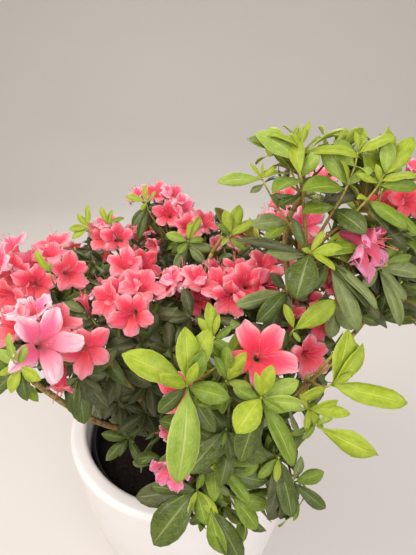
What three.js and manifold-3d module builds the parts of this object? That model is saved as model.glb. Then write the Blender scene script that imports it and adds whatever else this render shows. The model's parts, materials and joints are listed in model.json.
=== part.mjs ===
// An azalea shrub in full blossom, growing in a round white planter.
//
// Millimetres, +Z up. The origin is the middle of the planter's flat underside, and the
// shrub's front faces -Y. The crown is a low dome of leafy, blossoming masses. Each mass
// hangs on the tip of its own bough, and the boughs fork from a short trunk in the planter.

import * as THREE from 'three';
import { mergeVertices } from 'three/addons/utils/BufferGeometryUtils.js';
import Module from 'manifold-3d';

const wasm = await Module();
wasm.setup();

// Planter
const POT_HEIGHT = 380;
const RIM_RADIUS = 180;
const FOOT_RADIUS = 118;
const RIM_WIDTH = 24;
const RIM_ROUNDING = 8;
const RIM_SLOPE = 0.05;
const WALL_AT_FOOT = 16;
const POT_FLOOR = 20;
const FOOT_CHAMFER = 4;
const POT_SIDES = 32;

// Inner nursery pot and its compost
const LINER_TOP = 350;
const LINER_WALL = 2.5;
const LINER_CLEARANCE = 6;
const LINER_SIDES = 24;
const SOIL_TOP = 345;
const SOIL_EDGE = 330;
const SOIL_FLAT_RADIUS = 42;

// Wood
const TRUNK_FOOT = new THREE.Vector3(-8, 6, SOIL_TOP);
const TRUNK_FORK = new THREE.Vector3(2, -10, 432);
const TRUNK_BASE_RADIUS = 13;
const TRUNK_FORK_RADIUS = 11;
const ROOT_FLARE = 11;
const BOUGH_FOOT_RADIUS = [6.4, 4.4, 3.4];
const BOUGH_TIP_RADIUS = 2.9;
const STEM_FOOT_RADIUS = 2.7;
const STEM_TIP_RADIUS = 2.3;
const SHOOT_FOOT_RADIUS = 2.2;
const SHOOT_TIP_RADIUS = 1.7;

// Leaves and blossoms
const LEAF_WIDTH_SHARE = 0.42;
const LEAF_THICKNESS = 1.5;
const BLOSSOM_RADIUS = 29;
const BLOSSOM_DEPTH = 33;
const PETAL_CORNERS = 3;
const PETALS = 5;
const LEAVES_IN_ROSETTE = 5;
const LEAF_SIZES = [1, 0.85, 0.7];
const BLOSSOM_SIZES = [1, 0.88, 0.76];

// Spacing
const GAP = 0.3;
const CELL_MARGIN = 0.2;
const LEAF_CLEARANCE = 2.9;
const DOME_SHARE = 0.95;
const LEAST_RISE = 0.3;
const GOLDEN_ANGLE = Math.PI * (3 - Math.sqrt(5));
const MASS_SEED = 7919;
const SHOOT_SEED = 104729;
const UP = new THREE.Vector3(0, 0, 1);
const CROWN_HEART = new THREE.Vector3(10, -10, 500);

// The crown's masses. Each row gives the mass's name, what its bough forks from and at which
// share of that limb's length, its middle (x, y, z), how far it reaches, its leaf's length,
// its shoots, and how many of them end in blossom. A parent's row stands before its forks'.
const CROWN = [
  ['left_near', 'trunk', 0.25, -80, -154, 628, 80, 50, 5, 3],
  ['left_far', 'trunk', 0.7, -144, -48, 626, 78, 46, 5, 4],
  ['left_inner', 'left_far', 0.45, -78, -14, 614, 70, 44, 4, 3],
  ['left_tip', 'left_near', 0.08, -142, -192, 630, 48, 46, 4, 0],
  ['centre_left', 'left_far', 0.3, -42, -70, 596, 72, 44, 5, 3],
  ['back_left', 'trunk', 0.9, -90, 74, 610, 76, 48, 4, 3],
  ['back_mid', 'trunk', 0.95, -30, 106, 650, 76, 46, 4, 3],
  ['back_right', 'back_mid', 0.5, 26, 74, 618, 72, 44, 4, 2],
  ['back_low_left', 'back_left', 0.5, -158, 120, 562, 90, 50, 5, 3],
  ['back_low_mid', 'back_mid', 0.45, -46, 200, 572, 86, 48, 5, 3],
  ['back_low_right', 'back_mid', 0.35, 78, 176, 590, 82, 48, 4, 2],
  ['centre', 'trunk', 1.0, 10, -46, 604, 72, 42, 4, 3],
  ['centre_right', 'centre', 0.45, 62, -26, 600, 72, 42, 4, 3],
  ['centre_shoot', 'centre', 0.6, 54, -2, 688, 56, 46, 3, 0],
  ['right_hub', 'trunk', 0.85, 138, -108, 704, 54, 46, 4, 0],
  ['right_top', 'right_hub', 0.75, 132, -98, 778, 62, 48, 5, 0],
  ['right_crest', 'right_hub', 0.65, 198, -84, 762, 66, 48, 4, 0],
  ['right_faded', 'right_hub', 0.6, 194, -112, 684, 62, 46, 4, 1],
  ['right_low', 'right_hub', 0.4, 226, -92, 634, 76, 48, 4, 0],
  ['right_under', 'right_hub', 0.35, 136, -116, 596, 68, 44, 4, 3],
  ['right_back', 'right_hub', 0.3, 176, 60, 626, 82, 48, 5, 3],
  ['right_outer', 'right_back', 0.45, 270, -14, 670, 80, 48, 4, 2],
  ['front_middle', 'trunk', 0.8, 64, -180, 634, 74, 48, 4, 1],
  ['front_left', 'front_middle', 0.6, 16, -228, 648, 76, 52, 5, 0],
  ['front_right', 'front_middle', 0.55, 124, -220, 644, 80, 54, 5, 0],
  ['low_front', 'front_middle', 0.45, 34, -200, 512, 76, 50, 5, 0],
  ['low_right', 'front_middle', 0.4, 112, -188, 502, 74, 48, 4, 0],
  ['inner_low', 'trunk', 0.5, -68, -62, 462, 64, 42, 4, 0],
];

const COLOURS = {
  pot: 0xeae5e0,
  liner: 0x17181a,
  soil: 0x3a2d24,
  bark: 0x8a6548,
  leaves: 0x5f8f35,
  springLeaves: 0x9cc23e,
  blossoms: 0xf27788,
};

// A repeatable stream of numbers from 0 up to 1.
function seeded(seed) {
  let state = seed;
  return () => {
    state = (Math.imul(state, 1664525) + 1013904223) >>> 0;
    return state / 4294967296;
  };
}

// Welds a closed geometry into a solid, without the flat faces that a pole leaves.
function solid(geometry) {
  geometry.deleteAttribute('normal');
  geometry.deleteAttribute('uv');
  const welded = mergeVertices(geometry, 1e-5);
  const index = welded.index.array;
  const faces = [];
  for (let i = 0; i < index.length; i += 3) {
    const [a, b, c] = [index[i], index[i + 1], index[i + 2]];
    if (a !== b && b !== c && c !== a) {
      faces.push(a, b, c);
    }
  }
  return new wasm.Manifold(new wasm.Mesh({
    numProp: 3,
    vertProperties: new Float32Array(welded.attributes.position.array),
    triVerts: new Uint32Array(faces),
  }));
}

// The one largest body of a solid: loose scraps and sealed hollows go.
function largestBody(whole) {
  const bodies = whole.decompose();
  return bodies.reduce((best, body) => (body.volume() > best.volume() ? body : best));
}

// A named mesh of a solid, in the colour of its material.
function node(name, body, colour, roughness) {
  const mesh = body.getMesh();
  const geometry = new THREE.BufferGeometry();
  geometry.setAttribute('position', new THREE.BufferAttribute(mesh.vertProperties, 3));
  geometry.setIndex(new THREE.BufferAttribute(mesh.triVerts, 1));
  geometry.computeVertexNormals();
  const material = new THREE.MeshStandardMaterial({ color: colour, roughness, metalness: 0 });
  const named = new THREE.Mesh(geometry, material);
  named.name = name;
  return named;
}

// A body turned on the Z axis from its [radius, height] outline.
function turned(outline, sides) {
  const profile = outline.map(([radius, height]) => new THREE.Vector2(radius, height));
  const geometry = new THREE.LatheGeometry(profile, sides);
  geometry.rotateX(Math.PI / 2);
  return solid(geometry);
}

// The planter's outer radius at a height: it swells gently from its foot to its rim.
function potRadius(height) {
  const depth = POT_HEIGHT - height;
  const swell = RIM_RADIUS - FOOT_RADIUS - RIM_SLOPE * POT_HEIGHT;
  return RIM_RADIUS - RIM_SLOPE * depth - swell * (depth / POT_HEIGHT) ** 2;
}

// The planter's inner radius at a height.
function potInnerRadius(height) {
  const wall = WALL_AT_FOOT + (RIM_WIDTH - WALL_AT_FOOT) * (height / POT_HEIGHT);
  return potRadius(height) - wall;
}

// One rounded corner of the rim, from angle a to angle b about its middle.
function rimCorner(middleRadius, a, b) {
  const points = [];
  for (let step = 0; step <= 2; step += 1) {
    const angle = a + (b - a) * (step / 2);
    points.push([
      middleRadius + RIM_ROUNDING * Math.cos(angle),
      POT_HEIGHT - RIM_ROUNDING + RIM_ROUNDING * Math.sin(angle),
    ]);
  }
  return points;
}

function pot() {
  const outline = [[0, 0], [FOOT_RADIUS - FOOT_CHAMFER, 0], [potRadius(FOOT_CHAMFER), FOOT_CHAMFER]];
  for (const height of [120, 250]) {
    outline.push([potRadius(height), height]);
  }
  outline.push(...rimCorner(RIM_RADIUS - RIM_ROUNDING, 0, Math.PI / 2));
  outline.push(...rimCorner(RIM_RADIUS - RIM_WIDTH + RIM_ROUNDING, Math.PI / 2, Math.PI));
  for (const height of [250, POT_FLOOR]) {
    outline.push([potInnerRadius(height), height]);
  }
  outline.push([0, POT_FLOOR]);
  return turned(outline, POT_SIDES);
}

// The liner's outer radius at a height, clear of the planter's inside.
function linerRadius(height) {
  const foot = potInnerRadius(POT_FLOOR) - LINER_CLEARANCE;
  const top = potInnerRadius(LINER_TOP) - LINER_CLEARANCE;
  return foot + (top - foot) * ((height - POT_FLOOR) / (LINER_TOP - POT_FLOOR));
}

function liner() {
  const base = POT_FLOOR + GAP;
  const floor = base + LINER_WALL;
  return turned([
    [0, base],
    [linerRadius(base), base],
    [linerRadius(LINER_TOP), LINER_TOP],
    [linerRadius(LINER_TOP) - LINER_WALL, LINER_TOP],
    [linerRadius(floor) - LINER_WALL, floor],
    [0, floor],
  ], LINER_SIDES);
}

function soil() {
  const base = POT_FLOOR + LINER_WALL + 2 * GAP;
  const fit = LINER_WALL + 2 * GAP;
  return turned([
    [0, base],
    [linerRadius(base) - fit, base],
    [linerRadius(SOIL_EDGE) - fit, SOIL_EDGE],
    [linerRadius(SOIL_EDGE) * 0.65, (SOIL_EDGE + SOIL_TOP) / 2 + 2],
    [SOIL_FLAT_RADIUS, SOIL_TOP],
    [0, SOIL_TOP],
  ], LINER_SIDES);
}

// A direction square to a curve all along it: the world axis that the curve follows least.
function levelAcross(curve) {
  const headings = [0, 0.5, 1].map((share) => curve.getTangent(share));
  const axes = [new THREE.Vector3(1, 0, 0), new THREE.Vector3(0, 1, 0), UP];
  const along = axes.map((axis) => Math.max(...headings.map((heading) => Math.abs(heading.dot(axis)))));
  return axes[along.indexOf(Math.min(...along))];
}

// A limb: a many-sided bar bent along a curve. radiusAt gives its radius at a share of its
// length, and grown is added all round it.
function limb(curve, radiusAt, sides, steps, grown = 0) {
  const shape = new THREE.CylinderGeometry(1, 1, 1, sides, steps);
  const place = shape.attributes.position;
  const across = levelAcross(curve);
  for (let i = 0; i < place.count; i += 1) {
    const share = place.getY(i) + 0.5;
    const heading = curve.getTangent(share);
    const side = new THREE.Vector3().crossVectors(heading, across).normalize();
    const front = new THREE.Vector3().crossVectors(side, heading);
    const radius = radiusAt(share) + grown;
    const point = curve.getPoint(share);
    point.addScaledVector(side, radius * place.getX(i));
    point.addScaledVector(front, radius * place.getZ(i));
    point.addScaledVector(heading, grown * (2 * share - 1));
    place.setXYZ(i, point.x, point.y, point.z);
  }
  return solid(shape);
}

// A limb's radius that tapers evenly from foot to tip.
function taper(foot, tip) {
  return (share) => foot + (tip - foot) * share;
}

// The trunk widens to its root flare at the soil.
function trunkRadius(share) {
  const body = TRUNK_BASE_RADIUS + (TRUNK_FORK_RADIUS - TRUNK_BASE_RADIUS) * share;
  return body + ROOT_FLARE * Math.exp(-7 * share);
}

// The straight stretches of a curve, with their radii: what leaves and twigs stay clear of.
function stretches(owner, curve, radiusAt, steps) {
  const list = [];
  for (let i = 0; i < steps; i += 1) {
    list.push({
      owner,
      from: curve.getPoint(i / steps),
      to: curve.getPoint((i + 1) / steps),
      radius: Math.max(radiusAt(i / steps), radiusAt((i + 1) / steps)),
    });
  }
  return list;
}

// The mass rows as named values, with what follows from them: the way the mass faces, where
// its bough's tip is, and where its own stem ends.
function planCrown() {
  return CROWN.map(([name, parent, fork, x, y, z, reach, leafLength, shoots, blossoming], row) => {
    const middle = new THREE.Vector3(x, y, z);
    const facing = middle.clone().sub(CROWN_HEART);
    facing.setZ(Math.max(facing.z, LEAST_RISE * facing.length())).normalize();
    const outward = new THREE.Vector3(x, y, 0).normalize();
    const heading = outward.multiplyScalar(0.5).add(UP).normalize();
    return {
      name,
      parent,
      fork,
      middle,
      reach,
      leafLength,
      shoots,
      blossoming,
      facing,
      heading,
      entry: middle.clone().addScaledVector(heading, -0.62 * reach),
      heart: middle.clone().addScaledVector(facing, -0.15 * reach),
      row,
      turn: 2.1 * row,
    };
  });
}

// A bough leaves its parent outward and a little up, and turns up to meet its mass.
function boughCurve(mass, parent) {
  const start = parent.curve.getPoint(mass.fork);
  const span = mass.entry.clone().sub(start);
  const length = span.length();
  const level = new THREE.Vector3(span.x, span.y, 0).normalize();
  const leaving = level.addScaledVector(UP, 0.35).addScaledVector(parent.curve.getTangent(mass.fork), 0.35);
  return new THREE.CubicBezierCurve3(
    start,
    start.clone().addScaledVector(leaving.normalize(), 0.4 * length),
    mass.entry.clone().addScaledVector(mass.heading, -0.36 * length),
    mass.entry,
  );
}

// The mass's own stem runs on from its bough's tip, just clear of it, to its heart.
function stemCurve(mass, bough) {
  const heading = bough.curve.getTangent(1);
  const start = mass.entry.clone().addScaledVector(heading, GAP);
  const length = mass.heart.distanceTo(start);
  return new THREE.QuadraticBezierCurve3(
    start,
    start.clone().addScaledVector(heading, 0.5 * length),
    mass.heart,
  );
}

// All wood: the trunk, the boughs, and the stem of each mass.
function planWood(masses) {
  const trunkCurve = new THREE.CubicBezierCurve3(
    TRUNK_FOOT.clone().addScaledVector(UP, GAP),
    TRUNK_FOOT.clone().addScaledVector(UP, 30),
    TRUNK_FORK.clone().addScaledVector(UP, -30),
    TRUNK_FORK,
  );
  const limbs = new Map();
  limbs.set('trunk', { name: 'trunk', order: 0, curve: trunkCurve, radiusAt: trunkRadius, sides: 10, steps: 6 });
  for (const mass of masses) {
    const parent = limbs.get(mass.parent);
    const curve = boughCurve(mass, parent);
    const widest = 0.85 * parent.radiusAt(mass.fork);
    const foot = Math.max(Math.min(BOUGH_FOOT_RADIUS[parent.order], widest), BOUGH_TIP_RADIUS);
    limbs.set(mass.name, {
      name: `bough_${mass.name}`,
      order: parent.order + 1,
      curve,
      radiusAt: taper(foot, BOUGH_TIP_RADIUS),
      sides: 5,
      steps: parent.order === 0 ? 5 : 4,
    });
    mass.stem = stemCurve(mass, limbs.get(mass.name));
  }
  return limbs;
}

// The closest two straight stretches come to each other.
function stretchGap(a, b, c, d) {
  const u = b.clone().sub(a);
  const v = d.clone().sub(c);
  const w = a.clone().sub(c);
  const [uu, uv, vv, uw, vw] = [u.dot(u), u.dot(v), v.dot(v), u.dot(w), v.dot(w)];
  const spread = uu * vv - uv * uv;
  let s = spread > 1e-9 ? THREE.MathUtils.clamp((uv * vw - vv * uw) / spread, 0, 1) : 0;
  const t = THREE.MathUtils.clamp((uv * s + vw) / vv, 0, 1);
  s = THREE.MathUtils.clamp((uv * t - uw) / uu, 0, 1);
  const near = a.clone().addScaledVector(u, s);
  const far = c.clone().addScaledVector(v, t);
  return near.distanceTo(far);
}

// The flat sides of each mass's own space: it shares out the ground between each two
// masses by their reach, so a piece whose corners are all inside can't touch a neighbour.
function planSpaces(masses) {
  for (const mass of masses) {
    mass.walls = masses.filter((other) => other !== mass).map((other) => {
      const across = other.middle.clone().sub(mass.middle);
      const apart = across.length();
      const share = (apart * apart + mass.reach ** 2 - other.reach ** 2) / (2 * apart);
      return { across: across.divideScalar(apart), at: share - CELL_MARGIN };
    });
  }
}

// True where a point is in the mass's own space.
function inSpace(mass, point) {
  const offset = point.clone().sub(mass.middle);
  return offset.length() < mass.reach && mass.walls.every((wall) => offset.dot(wall.across) < wall.at);
}

// True where all points are inside the planter's mouth above the soil, or all outside it.
function clearOfPot(points) {
  if (points.every((point) => point.z > POT_HEIGHT + 4)) {
    return true;
  }
  const mouth = potInnerRadius(LINER_TOP) - 12;
  const within = (point) => Math.hypot(point.x, point.y) < mouth && point.z > SOIL_TOP + 4;
  const outside = (point) => Math.hypot(point.x, point.y) > RIM_RADIUS + 4;
  return points.every(within) || points.every(outside);
}

// True where a piece fits its mass: in its space, clear of the pot and of all wood but its own.
function fits(piece, mass, wood) {
  return piece.points.every((point) => inSpace(mass, point))
    && clearOfPot(piece.points)
    && wood.every((stretch) => stretch.owner === mass.name
      || piece.lines.every(([a, b]) => stretchGap(a, b, stretch.from, stretch.to)
        > stretch.radius + piece.margin));
}

// A direction tilted away from an axis, at an angle around it.
function tilted(axis, tilt, around) {
  const side = new THREE.Vector3().crossVectors(axis, Math.abs(axis.z) < 0.9 ? UP : new THREE.Vector3(1, 0, 0));
  side.normalize().applyAxisAngle(axis, around);
  return axis.clone().multiplyScalar(Math.cos(tilt)).addScaledVector(side, Math.sin(tilt));
}

// A leaf: a thin blade of eight faces, widest past its middle and arched along its rib.
function leaf(root, along, above, length) {
  const side = new THREE.Vector3().crossVectors(above, along).normalize();
  const top = new THREE.Vector3().crossVectors(along, side);
  const half = 0.5 * LEAF_WIDTH_SHARE * length;
  const at = (share, across, rise) => root.clone()
    .addScaledVector(along, share * length)
    .addScaledVector(side, across)
    .addScaledVector(top, rise);
  const corners = {
    root: at(0, 0, 0),
    tip: at(1, 0, -0.1 * length),
    left: at(0.56, half, 0.07 * length),
    right: at(0.56, -half, 0.07 * length),
    above: at(0.52, 0, 0.04 * length + LEAF_THICKNESS / 2),
    below: at(0.52, 0, 0.04 * length - LEAF_THICKNESS / 2),
  };
  const shape = new THREE.SphereGeometry(1, 4, 2);
  const place = shape.attributes.position;
  for (let i = 0; i < place.count; i += 1) {
    const [x, y, z] = [place.getX(i), place.getY(i), place.getZ(i)];
    const ends = x < -0.5 ? corners.root : corners.tip;
    const sides = z > 0 ? corners.right : corners.left;
    const level = Math.abs(x) > 0.5 ? ends : sides;
    const poles = y > 0 ? corners.above : corners.below;
    const corner = Math.abs(y) > 0.5 ? poles : level;
    place.setXYZ(i, corner.x, corner.y, corner.z);
  }
  const { left, right, tip } = corners;
  return {
    shape,
    points: Object.values(corners),
    lines: [[root, tip], [root, left], [root, right], [left, tip], [right, tip], [left, right]],
    margin: LEAF_CLEARANCE,
    spine: [at(0.35, 0, 0.04 * length), tip],
    spineRadius: 0.12 * length,
  };
}

// A blossom: a funnel with five petals. Its outline goes notch, shoulder, shoulder.
function blossom(root, along, size) {
  const outline = [[0.52, 0.8], [1, 1], [1, 1]];
  const sides = PETALS * PETAL_CORNERS;
  const across = tilted(along, Math.PI / 2, size);
  const front = new THREE.Vector3().crossVectors(across, along);
  const shape = new THREE.SphereGeometry(1, sides, 2);
  const place = shape.attributes.position;
  const points = [];
  for (let i = 0; i < place.count; i += 1) {
    const [x, y, z] = [place.getX(i), place.getY(i), place.getZ(i)];
    const corner = Math.round((Math.atan2(z, x) / (2 * Math.PI)) * sides + sides) % PETAL_CORNERS;
    const [reach, depth] = outline[corner];
    const poles = y > 0 ? 0.36 : 0;
    const isPole = Math.abs(y) > 0.5;
    const height = (isPole ? poles : depth) * BLOSSOM_DEPTH * size;
    const radius = (isPole ? 0 : reach) * BLOSSOM_RADIUS * size;
    const point = root.clone().addScaledVector(along, height);
    point.addScaledVector(across, radius * x).addScaledVector(front, radius * z);
    place.setXYZ(i, point.x, point.y, point.z);
    points.push(point);
  }
  const lines = points.filter((point) => point.distanceTo(root) > 1).map((point) => [root, point]);
  const spine = [0.5, 0.8].map((share) => root.clone().addScaledVector(along, share * BLOSSOM_DEPTH * size));
  return { shape, points, lines, margin: LEAF_CLEARANCE, spine, spineRadius: 0.5 * BLOSSOM_RADIUS * size };
}

// A straight twig from a mass's stem out to the tip of a shoot.
function twig(from, to) {
  return { points: [to], lines: [[from, to]], margin: SHOOT_FOOT_RADIUS + GAP };
}

// The first of a few sizes of a piece that fits its mass, clear of its earlier pieces too.
function firstFit(make, sizes, mass, kept, blocked) {
  const piece = sizes.map(make).find((one) => fits(one, mass, blocked));
  if (piece) {
    kept.push(piece);
    const [from, to] = piece.spine;
    blocked.push({ owner: '', from, to, radius: piece.spineRadius });
  }
}

// A rosette: leaves in a spiral down the last stretch of a shoot.
function rosette(mass, shoot, count, tilt, kept, blocked) {
  for (let i = 0; i < count; i += 1) {
    const around = shoot.first + (i * 2 * Math.PI) / count + 0.25 * shoot.random();
    const along = tilted(shoot.growing, tilt + 0.06 * i + 0.2 * shoot.random(), around);
    const root = shoot.tip.clone().addScaledVector(shoot.growing, -2 - 2.2 * i).addScaledVector(along, -0.3);
    const make = (scale) => leaf(root, along, shoot.growing, mass.leafLength * scale);
    firstFit(make, LEAF_SIZES, mass, kept, blocked);
  }
}

// A mass: shoots spread evenly over the dome that it faces, each ending in blossom or leaves.
function massSolid(mass, wood) {
  const blocked = [...wood];
  let body = limb(mass.stem, taper(STEM_FOOT_RADIUS, STEM_TIP_RADIUS), 4, 2);
  for (let k = 0; k < mass.shoots; k += 1) {
    const random = seeded(MASS_SEED * (mass.row + 3) + SHOOT_SEED * k);
    const share = k / (mass.shoots - 1);
    const polar = Math.acos(1 - DOME_SHARE * share);
    const heading = tilted(mass.facing, polar, k * GOLDEN_ANGLE + mass.turn);
    const fork = mass.stem.getPoint(1 - 0.6 * share);
    const tip = mass.heart.clone().addScaledVector(heading, mass.reach * (0.46 + 0.1 * random()));
    const growing = tip.clone().sub(fork).normalize().add(heading).normalize();
    const shoot = { tip, growing, random, first: 6 * random() };
    const kept = [];
    if (fits(twig(fork, tip), mass, blocked)) {
      if (k < mass.blossoming) {
        const root = tip.clone().addScaledVector(growing, -2.5);
        firstFit((scale) => blossom(root, growing, scale), BLOSSOM_SIZES, mass, kept, blocked);
      }
      const inLeaf = kept.length === 0;
      rosette(mass, shoot, inLeaf ? LEAVES_IN_ROSETTE : 2, inLeaf ? 0.85 : 1.25, kept, blocked);
    }
    if (kept.length > 0) {
      body = body.add(limb(new THREE.LineCurve3(fork, tip), taper(SHOOT_FOOT_RADIUS, SHOOT_TIP_RADIUS), 3, 1));
    }
    for (const piece of kept) {
      body = body.add(solid(piece.shape));
    }
  }
  return largestBody(body);
}

// The azalea in its planter: pot, liner, soil, trunk, boughs and masses.
function azalea() {
  const group = new THREE.Group();
  group.add(node('pot', pot(), COLOURS.pot, 0.45));
  group.add(node('liner', liner(), COLOURS.liner, 0.6));
  group.add(node('soil', soil(), COLOURS.soil, 0.95));

  const masses = planCrown();
  const limbs = planWood(masses);
  planSpaces(masses);

  let taken = null;
  for (const { name, curve, radiusAt, sides, steps } of limbs.values()) {
    const whole = limb(curve, radiusAt, sides, steps);
    const body = taken === null ? whole : largestBody(whole.subtract(taken));
    const grown = limb(curve, radiusAt, sides, steps, GAP);
    taken = taken === null ? grown : taken.add(grown);
    group.add(node(name, body, COLOURS.bark, 0.85));
  }

  const stemRadius = taper(STEM_FOOT_RADIUS, STEM_TIP_RADIUS);
  const wood = [...limbs.values()].flatMap((one) => stretches('', one.curve, one.radiusAt, 8));
  for (const mass of masses) {
    wood.push(...stretches(mass.name, mass.stem, stemRadius, 3));
  }
  for (const mass of masses) {
    const leafy = mass.leafLength >= 50 ? COLOURS.springLeaves : COLOURS.leaves;
    const colour = mass.blossoming > 1 ? COLOURS.blossoms : leafy;
    group.add(node(`foliage_${mass.name}`, massSolid(mass, wood), colour, 0.6));
  }
  return group;
}

export default azalea();
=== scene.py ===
"""An azalea shrub in coral-pink blossom, in its round white planter, grown leaf by leaf.

Metres, +Z up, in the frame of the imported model. Sizes are written in millimetres times MM.
The crown grows by the same rule as the model's masses, carried on to finer twigs.
"""

import json
import math

import bmesh
import bpy
import numpy as np
from mathutils import Matrix, Quaternion, Vector, noise

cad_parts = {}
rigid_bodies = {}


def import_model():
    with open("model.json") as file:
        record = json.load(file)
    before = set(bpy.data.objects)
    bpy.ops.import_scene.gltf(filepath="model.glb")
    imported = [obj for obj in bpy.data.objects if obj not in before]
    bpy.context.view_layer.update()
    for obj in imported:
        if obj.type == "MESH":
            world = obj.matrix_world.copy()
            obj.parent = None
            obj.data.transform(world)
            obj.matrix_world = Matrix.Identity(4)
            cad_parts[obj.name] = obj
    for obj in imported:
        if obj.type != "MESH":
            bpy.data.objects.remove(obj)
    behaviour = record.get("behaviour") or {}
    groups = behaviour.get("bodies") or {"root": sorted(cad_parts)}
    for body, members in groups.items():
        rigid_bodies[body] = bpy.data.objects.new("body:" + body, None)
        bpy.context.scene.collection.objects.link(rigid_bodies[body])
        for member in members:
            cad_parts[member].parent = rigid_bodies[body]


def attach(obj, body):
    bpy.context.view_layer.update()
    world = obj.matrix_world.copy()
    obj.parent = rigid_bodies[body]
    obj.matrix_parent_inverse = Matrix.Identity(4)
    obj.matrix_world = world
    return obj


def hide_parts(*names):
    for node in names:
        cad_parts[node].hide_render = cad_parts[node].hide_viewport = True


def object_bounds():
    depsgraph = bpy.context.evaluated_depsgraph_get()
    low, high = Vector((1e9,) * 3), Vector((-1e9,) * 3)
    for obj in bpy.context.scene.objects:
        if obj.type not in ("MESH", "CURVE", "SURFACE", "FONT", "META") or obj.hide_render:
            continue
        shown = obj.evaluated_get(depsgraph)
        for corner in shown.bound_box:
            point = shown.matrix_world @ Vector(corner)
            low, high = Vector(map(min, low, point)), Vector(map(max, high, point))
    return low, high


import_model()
CAD_LOW, CAD_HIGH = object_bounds()

MM = 0.001
MAP = "OFBake"
UP = Vector((0, 0, 1))
SIDEWAYS = Vector((1, 0, 0))
GOLDEN_ANGLE = math.pi * (3 - math.sqrt(5))

# Planter, as in the model
POT_HEIGHT = 380 * MM
RIM_RADIUS = 180 * MM
FOOT_RADIUS = 118 * MM
RIM_WIDTH = 24 * MM
RIM_ROUNDING = 8 * MM
RIM_SLOPE = 0.05
WALL_AT_FOOT = 16 * MM
POT_FLOOR = 20 * MM
FOOT_CHAMFER = 4 * MM
LINER_TOP = 350 * MM
LINER_WALL = 2.5 * MM
LINER_CLEARANCE = 6 * MM
LINER_LIP = 1.6 * MM
LINER_RIBS = 36
RIB_DEPTH = 0.5 * MM
SOIL_TOP = 345 * MM
SOIL_EDGE = 330 * MM
SOIL_MOUND = 30 * MM
SOIL_RINGS = 30
CRUMBS = 650
ROUND_STEPS = 128

# Wood, as in the model
TRUNK_FOOT = Vector((-8, 6, 345)) * MM
TRUNK_FORK = Vector((2, -10, 432)) * MM
TRUNK_BASE_RADIUS = 13 * MM
TRUNK_FORK_RADIUS = 11 * MM
ROOT_FLARE = 11 * MM
BOUGH_FOOT_RADIUS = [6.4 * MM, 4.4 * MM, 3.4 * MM]
BOUGH_TIP_RADIUS = 2.9 * MM
STEM_FOOT_RADIUS = 2.7 * MM
STEM_TIP_RADIUS = 2.1 * MM
SHOOT_FOOT_RADIUS = 1.9 * MM
SHOOT_TIP_RADIUS = 1.3 * MM
TWIG_FOOT_RADIUS = 1.3 * MM
TWIG_TIP_RADIUS = 0.9 * MM
GAP = 0.3 * MM

# A leaf's thickness, as a share of its length
LEAF_THICKNESS = 0.011

# Blossoms. A petal is free of its neighbours from LOBE_START of its length on, and its free
# lobe is widest at LOBE_WIDEST of its own length. Sizes are shares of a usual blossom's.
BLOSSOM_RADIUS = 29 * MM
BLOSSOM_DEPTH = 33 * MM
PETAL_THICKNESS = 0.35 * MM
THREAD_FOOT_RADIUS = 0.42 * MM
THREAD_TIP_RADIUS = 0.34 * MM
PETALS = 5
STAMENS = 6
LOBE_START = 0.45
LOBE_WIDEST = 0.45
HALF_OPEN_BELOW = 0.79
FINE_ABOVE = 0.96
TRUSS_BLOSSOMS = 3
FINE_PETAL = {"columns": 8, "rows": 12}

# How the crown fills its masses, as in the model
CROWN_HEART = Vector((10, -10, 500)) * MM
DOME_SHARE = 0.95
LEAST_RISE = 0.3

# How twigs and leaves are dealt out: the room round blossoms that are there already, half the
# width of a leaf and of a blossom in pixels of the view, the way kept free before a face, the
# least depth in the view, how far things stand off the planter, how far they may stand past
# the model's box or their mass's space, and how many there are of each
ROOM_FOR_FACE = 20 * MM
ROOM_AT_LEAF_TIP = 22 * MM
ROOM_ROUND_TRUSS = 33 * MM
LEAF_HALF_WIDTH = 2.0
TRUSS_HALF_WIDTH = 14.0
FACE_VIEW = 45 * MM
NEAREST_GROWN = 345 * MM
OFF_POT = 4 * MM
OFF_WALL = 10 * MM
PAST_BOX = 18 * MM
FACE_IN_BOX = 10 * MM
LEAF_PAST_SPACE = 14 * MM
FACE_PAST_SPACE = 20 * MM
TWIG_PAST_SPACE = 4 * MM
AWAY_FROM_VIEW = 0.1
SPRING_TWIGS = 2
SHOOT_TWIGS = 3
STEM_TWIGS = 3
INNER_TWIGS = 4
TIP_LEAVES = 7
TRUSS_LEAVES = 5
COLLAR_LEAVES = 6
BUD_SCALES = 5
BELOW_BLOSSOM = 4 * MM
TRUSS_SPREAD = (1.2, 1.7)
COLLAR_SPREAD = (1.15, 1.8)
SHOOT_LEAVES_STEM = 0.75
CARRIER_END = 0.95

# Seeds: the first one, and the steps from row to row, or from mass to mass and twig to twig.
# The shoots' are the model's.
BLOOM_SEEDS = (977, 61)
SPRAY_SEEDS = (4211, 37)
ROSETTE_SEEDS = (8123, 53)
SHOOT_SEEDS = (3 * 7919, 7919, 104729)
STEM_TWIG_SEEDS = (5, 31, 7)
INNER_TWIG_SEEDS = (3, 53, 11)
CRUMB_SEED = 41

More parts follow.
